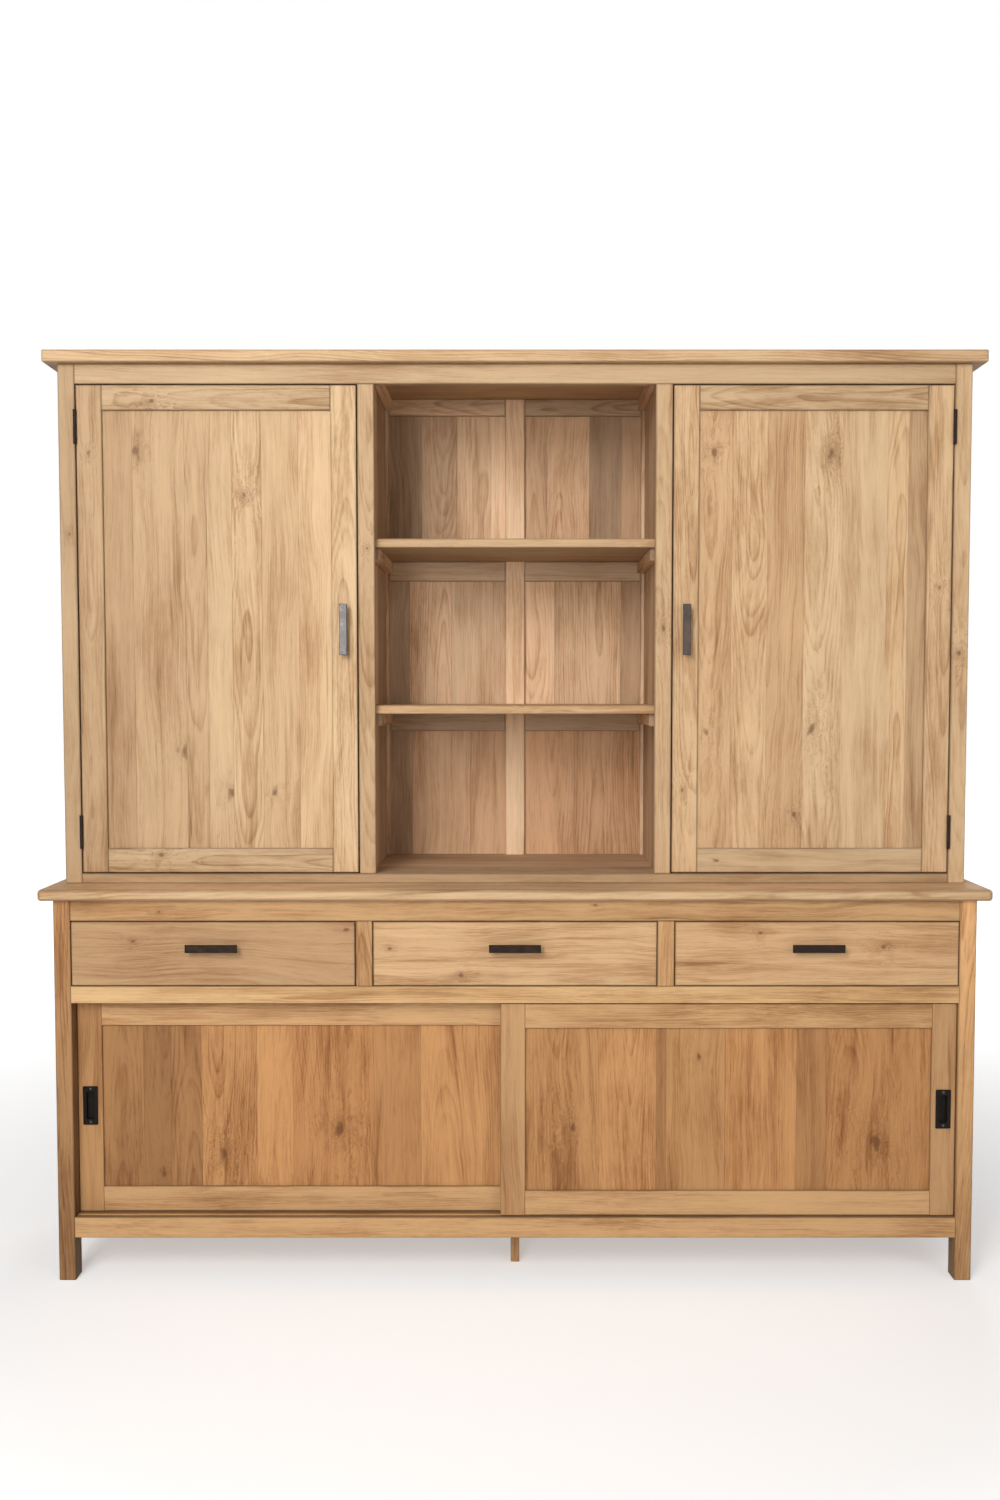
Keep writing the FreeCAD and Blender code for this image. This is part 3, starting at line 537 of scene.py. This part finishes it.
def teak(name, colour, axis=None, figure=1.0):
    """Teak, cut from a log.

    The rings are the whole numbers of r / spacing, with r the distance from the pith bent by slow noise and
    pushed aside near a knot. Late wood darkens the end of each ring, short streaks along the grain make the
    pores, and slow noise makes the bands of colour. The figure is how strong all of these are. The boards
    bring their own log coordinates. A piece without them takes its own coordinates, turned so that the grain
    runs along the given axis.
    """
    colour = tuple(colour)
    make = Recipe(bpy.data.materials.new(name))
    if axis is None:
        grain = make.attribute("grain")
        strong = make.attribute("rings", "Fac")
        # The look holds tone, hue and how dark a point is: painted shade on edges and narrow faces, or a glue
        # joint
        tone, hue, edge = make.split(make.attribute("look"))
        near = nearest_knot(make, grain)
    else:
        coordinates = make.node("ShaderNodeTexCoord")
        own = make.split(coordinates.outputs["Object"])
        turned = zip((*crosswise(axis), axis), LOG_PLACE)
        grain = make.join(*(make.math("ADD", own[part], push) for part, push in turned))
        strong = LOG_RINGS
        # Painted shade: faces that don't look to the front or the back are darker
        facing = make.math("ABSOLUTE", make.split(coordinates.outputs["Normal"])[Y])
        edge = make.span(facing, 0.5, 0.95, 1.05, 0.0)
    pith = make.distance(*make.split(grain)[:2])
    flow = make.noise(grain, 6.0, 2.0)
    ripple = make.noise(grain, 35.0, 7.0, 1.0)
    drift = make.math("MULTIPLY_ADD", ripple, 0.006, make.math("MULTIPLY", flow, 0.07))
    wavy = make.vector("ADD", grain, make.join(drift))
    away = make.sway(make.sway(pith, flow, 0.055), ripple, 0.005)
    if axis is None:
        bulge = make.math("MULTIPLY_ADD", near, make.math("MULTIPLY", near, 0.35), 1.5)
        away = make.math("ADD", away, make.math("DIVIDE", 0.045, bulge))
        halo = make.span(near, 0.6, 5.0, 0.55, 0.0)
        strong = make.math("ADD", strong, halo)
    late = late_wood(make, away, strong)
    layers = {}
    value = make.math("MULTIPLY_ADD", late, 0.36, 0.33)
    for layer, (*noise, share) in TEAK_LAYERS.items():
        layers[layer] = make.noise(wavy, *noise)
        value = make.sway(value, layers[layer], share * figure)
    for mark, (*noise, start, full, share) in TEAK_MARKS.items():
        layers[mark] = make.span(make.noise(wavy, *noise), start, full)
        value = make.math("MULTIPLY_ADD", layers[mark], share * figure, value)
    if axis is None:
        eddy = make.math("SINE", make.math("MULTIPLY", near, 4.2))
        value = make.math("MULTIPLY_ADD", eddy, make.span(near, 0.8, 3.5, 0.14, 0.0), value)
    wood = make.ramp(value, [(place, shade(colour, *scale)) for place, scale in TEAK_STOPS])
    # Painted shade: the darkest edges and faces keep four tenths of the wood's colour
    light = make.span(edge, 0.05, 1.0, 1.0, 0.40)
    if axis is None:
        warm = make.mix(make.span(hue, -1.0, 2.0), COOL_WOOD, WARM_WOOD)
        wood = make.mix(1.0, wood, warm, "MULTIPLY")
        light = make.math("MULTIPLY", make.math("POWER", 2.0, tone), light)
    wood = make.mix(1.0, wood, light, "MULTIPLY")
    if axis is None:
        smear = make.math("MULTIPLY", halo, make.span(layers["cloud"], 0.35, 0.65))
        wood = make.mix(smear, wood, shade(colour, *KNOT_HALO))
        wood = make.mix(make.span(near, 0.3, 1.4, 0.75, 0.0), wood, shade(colour, *KNOT_HEART))
    dull = make.sway(make.math("MULTIPLY_ADD", layers["pores"], 0.2, 0.60), layers["streak"], 0.25)
    height = make.math("MULTIPLY_ADD", layers["fibre"], 0.5, make.math("MULTIPLY", late, 0.35))
    height = make.math("SUBTRACT", height, make.math("MULTIPLY", layers["pores"], 0.6))
    make.fill(make.shader, {
        "Base Color": wood, "Roughness": dull, "IOR": 1.36,
        "Normal": make.bump(height, strength=0.35, distance=0.0006)})
    return make.owner


# What black iron is tinted with where it is rubbed thin
RUBBED_IRON = (2.6, 2.1, 1.7)


def forged_iron(name, colour, roughness, refraction):
    """Blackened iron: fine hammered unevenness, brown where the black is rubbed thin."""
    colour = tuple(colour)
    make = Recipe(bpy.data.materials.new(name))
    place = make.node("ShaderNodeTexCoord").outputs["Object"]
    cloud = make.noise(place, 60.0, 60.0, 3.0, 0.6)
    speck = make.noise(place, 900.0, 900.0, 2.0, 0.6)
    worn = make.span(make.math("MULTIPLY_ADD", speck, 0.5, cloud), 0.70, 1.0)
    make.fill(make.shader, {
        "Base Color": make.mix(worn, colour, shade(colour, *RUBBED_IRON)),
        "Roughness": make.span(cloud, 0.25, 0.75, roughness - 0.07, roughness + 0.10),
        "IOR": refraction,
        "Normal": make.bump(make.math("MULTIPLY_ADD", cloud, 1.5, speck), strength=0.25, distance=0.0004)})
    return make.owner


# How many rings and how many directions a screw head has
SCREW_RINGS, SCREW_TURNS = 12, 96


def screws(name, centres, iron, material, body):
    """Slotted screw heads that face the front, each a dome on a polar grid.

    The dome stands rise (1 - (r / radius)^2) off the plate, less a slot's depth where the point is within
    half a slot's width of a line through the middle. A back face closes it.
    """
    radius = iron.screw_radius
    rings = np.linspace(0, 1, SCREW_RINGS + 1)[1:] * radius
    turns = np.linspace(0, 2 * np.pi, SCREW_TURNS + 1)[:-1]
    across = rings[:, None] * np.cos(turns)
    upward = rings[:, None] * np.sin(turns)
    rise = iron.screw_rise * (1 - (rings[:, None] / radius) ** 2)
    rng = seeded(name)
    points, faces = [], []
    index = np.arange(rings.size * turns.size).reshape(rings.size, turns.size)
    beside = np.roll(index, -1, axis=1)
    quads = np.stack([index[:-1], index[1:], beside[1:], beside[:-1]], axis=2).reshape(-1, 4)
    for number, (x, y, z) in enumerate(centres):
        slot_turn = rng.uniform(0, np.pi)
        aside = np.abs(across * np.sin(slot_turn) - upward * np.cos(slot_turn))
        height = rise - 2 * iron.screw_rise * (aside < iron.slot_width / 2)
        dome = np.stack([x + across, y - height, z + upward], axis=2)
        points.append(dome.reshape(-1, 3))
        start = number * index.size
        caps = [index[0], index[-1, ::-1]]
        faces += (quads + start).tolist() + [(cap + start).tolist() for cap in caps]
    piece = mesh_piece(name, np.concatenate(points), faces, material)
    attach(piece, body)


def dress(node, material):
    """Gives a node of the frame its material."""
    mesh = frame["nodes"][node].data
    mesh.materials.clear()
    mesh.materials.append(material)


# Laying out boards

def clipped(box, others, axis):
    """A box cut back along one axis to the faces of the boxes that its ends run into."""
    box = np.array(box)
    for other in others:
        meets = (np.minimum(box[HIGH], other[HIGH]) - np.maximum(box[LOW], other[LOW])).min() > TOUCH
        if meets and other[:, axis].mean() < box[:, axis].mean():
            box[LOW][axis] = max(box[LOW][axis], other[HIGH][axis])
        elif meets:
            box[HIGH][axis] = min(box[HIGH][axis], other[LOW][axis])
    return box


def staves(box, across, cuts):
    """A sheet cut into staves at the given places."""
    edges = [box[LOW][across], *cuts, box[HIGH][across]]
    cut = []
    for ends in zip(edges, edges[1:]):
        stave = np.array(box)
        stave[:, across] = ends
        cut.append(stave)
    return cut


def even_cuts(box, across, rng, width):
    """Places of the glue lines in a sheet of staves about as wide as given."""
    low, high = box[:, across]
    number = max(int(round((high - low) / width)), 1)
    places = np.arange(1, number) + rng.uniform(-CUT_STRAY, CUT_STRAY, number - 1)
    return list(low + places * (high - low) / number)


def share_cuts(box, shares):
    """Places of the glue lines at the given shares of a sheet's width."""
    return [box[LOW][X] + share * (box[HIGH][X] - box[LOW][X]) for share in shares]


def plain_boards(node, tone=0.0, spread=0.12, hue=0.0, against=(), looks=(), knots=(), knotty=0.0,
                 sides=SIDE_SHADE, fade=0.0):
    """A board for each solid of a node, its tenons cut off at the pieces it runs into.

    The looks, where given, are the tone and hue of each board from left to right. Each knot lies at a share
    of the length and of the width of every board. Knotty is the chance of one more small knot in a board.
    """
    rng = seeded(node)
    knot_rng = seeded(f"{node} knots")
    others = [box for name in against for box in solids(name)]
    planks = []
    for number, box in enumerate(solids(node)):
        axis = long_axis(box)
        own_tone, own_hue = looks[number] if looks else (tone, hue)
        shown = clipped(box, others, axis)
        plank = board(shown, rng, own_tone, spread, axis, own_hue, sides=sides, fade=fade)
        low, size = shown[LOW], shown[HIGH] - shown[LOW]
        wide = plank.wide
        chance, *more = knot_rng.uniform(KNOT_LOW, KNOT_HIGH)
        for along, across, radius in [*knots, more] if chance < knotty else knots:
            plank.knots.append((low[wide] + across * size[wide], low[axis] + along * size[axis], radius))
        planks.append(plank)
    return planks


def plain_pieces(material, *nodes, **layout):
    """Nodes whose solids are all plain boards."""
    for node in nodes:
        timber_piece(material, node, plain_boards(node, **layout))


def glued_piece(material, node, across, axis, tone=0.0):
    """Staves for each sheet of a node, side by side along one axis, with the grain along another."""
    rng = seeded(node)
    width = timber_settings().stave_width
    timber_piece(material, node, [
        board(stave, rng, tone, STAVE_SPREAD, axis, line=GLUE_LINE, glued=True)
        for box in solids(node) for stave in staves(box, across, even_cuts(box, across, rng, width))])


def nosed_piece(material, node, nose, tone, spread, underside=0.0):
    """Long strips glued into one wide top, the front edges of the first rounded to a nose."""
    rng = seeded(node)
    sheet = solids(node)[0]
    joint = timber_settings().joint_arris
    planks = []
    for number, strip in enumerate(staves(sheet, Y, even_cuts(sheet, Y, rng, STRIP_WIDTH))):
        front = nose if number == 0 else joint
        radii = [front, joint, joint, front]
        plank = board(strip, rng, tone, spread, X, glued=True, radii=radii, ends=nose)
        # Painted shade on the underside, where one is given
        plank.dark[UNDERSIDE] = underside
        planks.append(plank)
    timber_piece(material, node, planks)


def panel_piece(material, node, stiles, rails, layout):
    """Upright staves of a framed panel.

    The shares divide the width seen between the stiles, and each knot lies at a share of the width and of the
    height seen. The staves numbered under arched show the rings as arches. The outer staves run on into the
    grooves.
    """
    rng = seeded(node)
    box = solids(node)[0]
    seen = clipped(clipped(box, solids(stiles), X), solids(rails), Z)
    size = seen[HIGH] - seen[LOW]
    knots = [(seen[LOW][X] + side * size[X], seen[LOW][Z] + rise * size[Z], radius)
             for side, rise, radius in layout["knots"]]
    cut = staves(box, X, share_cuts(seen, layout["shares"]))
    looks = zip(cut, layout["tones"], layout["hues"], strict=True)
    planks = []
    for number, (stave, tone, hue) in enumerate(looks):
        inside = [knot for knot in knots if stave[LOW][X] <= knot[0] < stave[HIGH][X]]
        arched = number in layout["arched"] or None
        planks.append(board(stave, rng, tone, LOOK_SPREAD, Z, hue, GLUE_LINE, knots=inside, arched=arched,
                            glued=True))
    timber_piece(material, node, planks)


def wall_piece(material, node):
    """Staves of the hutch's back, cut off behind the rails and the muntins.

    The cells of the open bay are listed from the bottom up, left before right: the shares of each cell's
    width where its staves meet, and the staves' tones and hues. Chance decides those of the closed bays.
    """
    rng = seeded(node)
    members = solids("hutch_back_frame")
    muntins = [box[:, X].mean() for box in members if long_axis(box) == Z]
    inner_rails = sorted({round(box[:, Z].mean(), 3) for box in members if long_axis(box) != Z})[1:-1]
    open_cells = iter(OPEN_BAY)
    planks = []
    for sheet in solids(node):
        middle = sheet[:, X].mean()
        muntin = min(muntins, key=lambda place: abs(place - middle))
        rows = staves(sheet, Z, inner_rails)
        for cell in [cell for row in rows for cell in staves(row, X, [muntin])]:
            if sheet[LOW][X] < 0 < sheet[HIGH][X]:
                shares, tones, hues = next(open_cells)
                cuts = share_cuts(cell, shares)
            else:
                cuts = even_cuts(cell, X, rng, timber_settings().stave_width)
                tones = rng.normal(0, CLOSED_TONES, len(cuts) + 1)
                hues = rng.normal(0, CLOSED_HUES, len(cuts) + 1)
            for stave, tone, hue in zip(staves(cell, X, cuts), tones, hues, strict=True):
                planks.append(board(stave, rng, tone, LOOK_SPREAD, Z, hue, WALL_LINE, glued=True))
    timber_piece(material, node, planks)


# Looks from left to right. One more in tone is twice the light, and hues run from cool to warm
HINGED_PANELS = {
    "left": {
        "shares": (0.127, 0.355, 0.452, 0.561, 0.693, 0.855),
        "tones": (-0.28, -0.10, -0.16, 0.06, 0.14, 0.02, 0.20),
        "hues": (0.3, 0.2, 0.3, -0.3, -0.4, 0.0, -0.4),
        "arched": (2, 4),
        "stiles": ((-0.22, 0.0), (0.23, -0.8)),
        "knots": ((0.552, 0.126, 0.009), (0.741, 0.128, 0.008), (0.342, 0.224, 0.010), (0.618, 0.81, 0.006),
                  (0.145, 0.91, 0.010)),
    },
    "right": {
        "shares": (0.146, 0.304, 0.466, 0.632, 0.829, 0.921),
        "tones": (0.0, 0.16, -0.06, 0.16, 0.16, 0.18, -0.22),
        "hues": (0.2, -0.2, 0.8, -0.5, -0.6, -0.4, 0.4),
        "arched": (3, 5),
        "stiles": ((0.10, -0.2), (0.14, -0.2)),
        "knots": ((0.067, 0.904, 0.008), (0.584, 0.906, 0.008), (0.040, 0.267, 0.006), (0.509, 0.276, 0.009),
                  (0.431, 0.078, 0.006)),
    },
}
SLIDING_PANELS = {
    "left": {
        "shares": (0.101, 0.168, 0.245, 0.382, 0.473, 0.674, 0.791),
        "tones": (-0.32, -0.60, -0.40, 0.14, 0.26, 0.02, -0.06, 0.20),
        "hues": (0.4, 0.6, 0.5, 0.0, -0.2, 0.4, 0.2, 0.0),
        "arched": (7,),
        "knots": ((0.584, 0.345, 0.012), (0.150, 0.073, 0.007), (0.300, 0.20, 0.009)),
    },
    "right": {
        "shares": (0.182, 0.323, 0.348, 0.493, 0.670, 0.744),
        "tones": (0.10, 0.17, -0.36, 0.10, 0.20, -0.24, 0.04),
        "hues": (-0.4, -0.3, 0.4, -0.7, -0.4, 0.0, 0.3),
        "arched": (0,),
        "knots": ((0.118, 0.382, 0.008), (0.867, 0.303, 0.012), (0.430, 0.82, 0.005)),
    },
}
DRAWER_FRONTS = {
    "left": ((-0.20, 0.6), ((0.97, 0.88, 0.005), (0.22, 0.70, 0.004))),
    "centre": ((0.20, -0.6), ((0.06, 0.58, 0.004), (0.31, 0.16, 0.006))),
    "right": ((0.20, 0.0), ((0.30, 0.83, 0.005), (0.735, 0.60, 0.006))),
}
OPEN_BAY = (
    ((0.22, 0.66), (-0.45, -0.10, -0.12), (0.0, 0.8, 1.6)),
    ((0.45,), (-0.02, -0.12), (1.8, 1.7)),
    ((0.20, 0.52), (-0.25, 0.30, 0.12), (-0.8, -0.6, -0.6)),
    ((0.30, 0.80), (0.42, 0.30, -0.40), (-0.6, -0.3, 0.3)),
    ((0.30, 0.56, 0.82), (-0.55, -0.20, 0.16, 0.40), (-0.5, 0.0, -0.2, -0.5)),
    ((0.24, 0.56, 0.80), (-0.12, 0.06, -0.70, -0.38), (0.7, 0.3, -0.2, 0.7)),
)


class HutchOperator:
    """What the operators share."""

    bl_options = {"REGISTER", "UNDO"}


class CUPBOARD_OT_hutch_frame(HutchOperator, bpy.types.Operator):
    """Stiles, rails, sides and cornice of the hutch, each a rounded rectangle carried along its grain"""

    bl_idname = "cupboard.hutch_frame"
    bl_label = "Hutch frame"

    def execute(self, context):
        timber = timber_settings()
        wood = teak("Teak of the hutch", timber.hutch_colour, figure=0.85)
        plain_pieces(wood, "hutch_stiles", spread=0.03, knotty=0.8,
                     looks=((-0.22, 0.0), (-0.08, 0.0), (-0.02, 0.0), (0.12, -0.3)))
        # Painted shade: the sill rail's tone is darker for the shade it lies in above the counter
        plain_pieces(wood, "hutch_sill_rail", tone=-0.42, spread=0.03, sides=0.0)
        plain_pieces(wood, "hutch_top_rail", tone=-0.03, spread=0.02, hue=-0.6, against=["hutch_stiles"])
        glued_piece(wood, "hutch_sides", Y, Z)
        nosed_piece(wood, "cornice", timber.cornice_nose, tone=0.22, spread=0.04, underside=UNDER_SHADE)
        return {"FINISHED"}


class CUPBOARD_OT_hutch_inside(HutchOperator, bpy.types.Operator):
    """Partitions, floor, back and shelves, with glued staves cut side by side from each sheet"""

    bl_idname = "cupboard.hutch_inside"
    bl_label = "Hutch inside"

    def execute(self, context):
        timber = timber_settings()
        wood = teak("Teak of the inside", timber.inside_colour)
        golden = teak("Teak of the shelves", timber.hutch_colour)
        plain_pieces(wood, "side_shelves", "shelf_cleats", tone=0.08, sides=0.0)
        wall = plain_boards("hutch_back_frame")
        # Painted shade: the rails are darker for the shade under the shelves; the muntins are lighter
        for plank in wall:
            plank.tone += 0.44 if plank.axis == Z else -0.20
            plank.hue -= 0.8
        timber_piece(wood, "hutch_back_frame", wall)
        shelves = plain_boards("centre_shelves", spread=0.02, sides=0.0, looks=((-0.04, 0.6), (-0.14, 0.2)))
        # Painted shade on the shelves' undersides
        for plank in shelves:
            plank.dark[UNDERSIDE] = UNDER_SHADE
        timber_piece(golden, "centre_shelves", shelves)
        glued_piece(wood, "hutch_partitions", Y, Z, tone=-0.68)
        wall_piece(wood, "hutch_back_boards")
        glued_piece(wood, "hutch_floor", Y, X, tone=-0.45)
        return {"FINISHED"}


class CUPBOARD_OT_hutch_doors(HutchOperator, bpy.types.Operator):
    """The two hinged doors: stiles, rails between them and seven upright staves in each panel"""

    bl_idname = "cupboard.hutch_doors"
    bl_label = "Hutch doors"

    def execute(self, context):
        timber = timber_settings()
        wood = teak("Teak of the doors", timber.hutch_colour, figure=1.1)
        for side, layout in HINGED_PANELS.items():
            stiles, rails, panel = (f"{side}_door_{part}" for part in ("stiles", "rails", "panel"))
            plain_pieces(wood, stiles, spread=0.03, looks=layout["stiles"], sides=GAP_SHADE, knotty=0.9)
            plain_pieces(wood, rails, spread=0.03, looks=((0.0, -1.2), (-0.06, -0.5)), against=[stiles],
                         sides=GAP_SHADE, knotty=0.6)
            panel_piece(wood, panel, stiles, rails, layout)
        return {"FINISHED"}


class CUPBOARD_OT_base_frame(HutchOperator, bpy.types.Operator):
    """Legs, rails, back, floor and runners of the base, and the counter of four strips with a round nose"""

    bl_idname = "cupboard.base_frame"
    bl_label = "Base frame"

    def execute(self, context):
        timber = timber_settings()
        wood = teak("Teak of the base", timber.base_colour, figure=1.25)
        golden = teak("Teak of the counter", timber.hutch_colour)
        rail = teak("Teak of the lower tracks", timber.base_colour, X, figure=1.2)
        pale_rail = teak("Teak of the upper tracks", shade(timber.base_colour, 1.16, 1.24, 1.28), X)
        legs = ["base_front_legs", "base_back_legs"]
        fronts = plain_boards("base_front_legs", spread=0.02, sides=0.0, fade=0.75,
                              looks=((-0.64, 1.4), (-0.02, 0.5)))
        # Painted shade on the inner face of each front leg, beside the sliding doors
        for plank, inner in zip(fronts, (RIGHT_FACE, LEFT_FACE), strict=True):
            plank.dark[inner] = GAP_SHADE
        timber_piece(wood, "base_front_legs", fronts)
        plain_pieces(wood, "base_back_legs", sides=0.0)
        plain_pieces(wood, "base_top_rail", tone=-0.13, spread=0.02, hue=-0.5, against=legs,
                     knots=((0.10, 0.45, 0.004), (0.59, 0.75, 0.0035)))
        plain_pieces(wood, "base_side_rails", "base_back_frame", against=legs)
        plain_pieces(wood, "drawer_dividers", "centre_foot", "drawer_runners")
        glued_piece(wood, "base_side_panels", Y, Z)
        glued_piece(wood, "base_back_boards", X, Z)
        glued_piece(wood, "base_floor", Y, X)
        dress("base_bottom_rail", rail)
        dress("base_drawer_rail", pale_rail)
        nosed_piece(golden, "countertop", timber.counter_nose, tone=0.12, spread=0.05)
        return {"FINISHED"}


class CUPBOARD_OT_drawers(HutchOperator, bpy.types.Operator):
    """Three drawers: a front with level grain, a box of three boards and a bottom"""

    bl_idname = "cupboard.drawers"
    bl_label = "Drawers"

    def execute(self, context):
        timber = timber_settings()
        front = teak("Teak of the drawers", timber.drawer_colour, figure=1.15)
        inside = teak("Teak of the drawer boxes", timber.inside_colour)
        for side, (look, knots) in DRAWER_FRONTS.items():
            plain_pieces(front, f"{side}_drawer_front", spread=0.02, looks=[look], knots=knots,
                         sides=GAP_SHADE)
            plain_pieces(inside, f"{side}_drawer_box", f"{side}_drawer_bottom", tone=0.15, sides=0.0)
        return {"FINISHED"}


class CUPBOARD_OT_sliding_doors(HutchOperator, bpy.types.Operator):
    """The two sliding doors: framed panels of upright staves that run in the tracks of the base"""

    bl_idname = "cupboard.sliding_doors"
    bl_label = "Sliding doors"

    def execute(self, context):
        timber = timber_settings()
        wood = teak("Teak of the sliding panels", timber.panel_colour, figure=1.3)
        frames = {
            "left": teak("Teak of the rear stiles", shade(timber.base_colour, 0.82, 0.75, 0.68), Z),
            "right": teak("Teak of the front stiles", shade(timber.base_colour, 0.87, 0.84, 0.84), Z),
        }
        rail = teak("Teak of the sliding rails", timber.base_colour, X, figure=1.2)
        for side, layout in SLIDING_PANELS.items():
            stiles, rails, panel = (f"{side}_sliding_door_{part}" for part in ("stiles", "rails", "panel"))
            dress(stiles, frames[side])
            dress(rails, rail)
            panel_piece(wood, panel, stiles, rails, layout)
        return {"FINISHED"}


class CUPBOARD_OT_ironwork(HutchOperator, bpy.types.Operator):
    """Handles, hinges, and flush pulls with slotted screws, in blackened iron"""

    bl_idname = "cupboard.ironwork"
    bl_label = "Ironwork"

    def execute(self, context):
        iron = context.scene.cupboard.iron
        black = forged_iron("Blackened iron", iron.colour, roughness=0.30, refraction=1.62)
        pull = forged_iron("Black pull", iron.pull_colour, roughness=0.60, refraction=1.22)
        brown = forged_iron("Brown black iron", iron.brown_colour, roughness=0.60, refraction=1.22)
        for node in frame["nodes"]:
            if slot_of(node) == "dark_iron":
                dress(node, pull if node.endswith("pull") else black if "door_handle" in node else brown)
        for side in ("left", "right"):
            plate = np.array(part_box(f"{side}_sliding_door_pull"))
            reach = (plate[HIGH][Z] - plate[LOW][Z]) / 2 - iron.screw_inset
            middle = plate.mean(axis=0)
            centres = [(middle[X], plate[LOW][Y], middle[Z] + step * reach) for step in (-1, 1)]
            screws(f"{side}_pull_screws", centres, iron, black, f"{side}_sliding_door")
        return {"FINISHED"}


# Where each lamp hangs, what it looks at and how wide it is
LAMPS = {
    "key": ((-1.7, -4.0, 3.3), (0, 0, 1.1), 1.8),
    "side": ((-1.1, -4.4, 1.8), (0, 0, 1.1), 0.95),
    "fill": ((3.2, -3.8, 1.9), (0, 0, 1.1), 2.4),
    "top": ((0, -1.6, 4.6), (0, 0.2, 0.6), 3.0),
    "back": ((1.2, 4.6, 2.8), (0, 0, 1.1), 2.4),
}
# Share of white that the floor near the cupboard shows by itself
FLOOR_GLOW = 0.38


def lamp(name, place, target, size, power):
    """A square lamp that looks at a target."""
    light = bpy.data.lights.new(name, "AREA")
    light.shape = "SQUARE"
    light.size = size
    light.energy = power
    thing = placed(name, light)
    x, y, z = np.subtract(target, place)
    thing.location = place
    thing.visible_camera = False
    thing.rotation_euler = (np.arctan2(np.hypot(x, y), -z), 0, np.arctan2(-x, y))
    return thing


def background_ray(make):
    """One for a ray from the camera, or off gloss or through glass, and nought for the light of the room."""
    path = make.node("ShaderNodeLightPath")
    seen = path.outputs["Is Camera Ray"]
    for kind in ("Is Glossy Ray", "Is Transmission Ray"):
        seen = make.math("MAXIMUM", seen, path.outputs[kind])
    return seen


def pale_floor(stage):
    """A flat square floor that shows more white by itself the farther a point is from the middle."""
    make = Recipe(bpy.data.materials.new("Floor"))
    away = make.node("ShaderNodeVectorMath", operation="LENGTH")
    make.feed(away.inputs[0], make.node("ShaderNodeTexCoord").outputs["Object"])
    glow = make.span(away.outputs["Value"], stage.shadow_reach, stage.fade_reach, FLOOR_GLOW, 1.0)
    make.fill(make.shader, {
        "Base Color": (*stage.floor_colour, 1.0), "Roughness": 0.9, "Specular IOR Level": 0.1,
        "Emission Color": WHITE, "Emission Strength": make.math("MULTIPLY", background_ray(make), glow)})
    corners = stage.floor_reach * np.array([(-1, -1, 0), (1, -1, 0), (1, 1, 0), (-1, 1, 0)])
    return mesh_piece("floor", corners, [(0, 1, 2, 3)], make.owner)


def white_room(stage):
    """A world that looks white and lights the cupboard a little from all round."""
    make = Recipe(bpy.data.worlds.new("Room"), "Background")
    strength = make.span(background_ray(make), 0.0, 1.0, stage.world_strength, 1.0)
    make.fill(make.shader, {"Color": WHITE, "Strength": strength})
    return make.owner


def front_camera(stage):
    """A camera before the middle of the counter, turned down by its pitch."""
    eye = bpy.data.cameras.new("camera")
    eye.lens = stage.focal_length
    eye.sensor_width = 36.0
    eye.shift_x = stage.shift_x
    eye.shift_y = stage.shift_y
    camera = placed("camera", eye)
    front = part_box("countertop")[LOW][Y]
    camera.location = (0, front - stage.camera_distance, stage.camera_height)
    camera.rotation_euler = (np.pi / 2 - stage.camera_pitch, 0, 0)
    return camera


class CUPBOARD_OT_stage(HutchOperator, bpy.types.Operator):
    """Pale flat floor that fades into a white room, five soft lamps and the camera"""

    bl_idname = "cupboard.stage"
    bl_label = "Stage"

    def execute(self, context):
        scene = context.scene
        stage = scene.cupboard.stage
        floor = pale_floor(stage)
        lamps = [lamp(f"{name}_lamp", place, target, size, getattr(stage, f"{name}_power"))
                 for name, (place, target, size) in LAMPS.items()]
        camera = front_camera(stage)
        scene.world = white_room(stage)
        scene.camera = camera
        scene.view_settings.view_transform = "Standard"
        return {"FINISHED"}


class CUPBOARD_PT_panel(bpy.types.Panel):
    """The cupboard's settings and its operators in order"""

    bl_idname = "CUPBOARD_PT_panel"
    bl_label = "Cupboard"
    bl_space_type = "VIEW_3D"
    bl_region_type = "UI"
    bl_category = "Cupboard"

    def draw(self, context):
        for group in ("timber", "iron", "stage"):
            box = self.layout.box()
            settings = getattr(context.scene.cupboard, group)
            for field in settings.__annotations__:
                box.prop(settings, field)
        for operator in OPERATORS:
            self.layout.operator(operator.bl_idname)


OPERATORS = (
    CUPBOARD_OT_hutch_frame, CUPBOARD_OT_hutch_inside, CUPBOARD_OT_hutch_doors, CUPBOARD_OT_base_frame,
    CUPBOARD_OT_drawers, CUPBOARD_OT_sliding_doors, CUPBOARD_OT_ironwork, CUPBOARD_OT_stage,
)
CLASSES = (TimberSettings, IronSettings, StageSettings, CupboardSettings, *OPERATORS, CUPBOARD_PT_panel)


def register():
    for kind in CLASSES:
        bpy.utils.register_class(kind)
    bpy.types.Scene.cupboard = group("Cupboard", CupboardSettings)


def unregister():
    del bpy.types.Scene.cupboard
    for kind in reversed(CLASSES):
        bpy.utils.unregister_class(kind)


def main():
    register()
    bpy.ops.cupboard.hutch_frame()
    bpy.ops.cupboard.hutch_inside()
    bpy.ops.cupboard.hutch_doors()
    bpy.ops.cupboard.base_frame()
    bpy.ops.cupboard.drawers()
    bpy.ops.cupboard.sliding_doors()
    bpy.ops.cupboard.ironwork()
    bpy.ops.cupboard.stage()


if __name__ == "__main__":
    main()
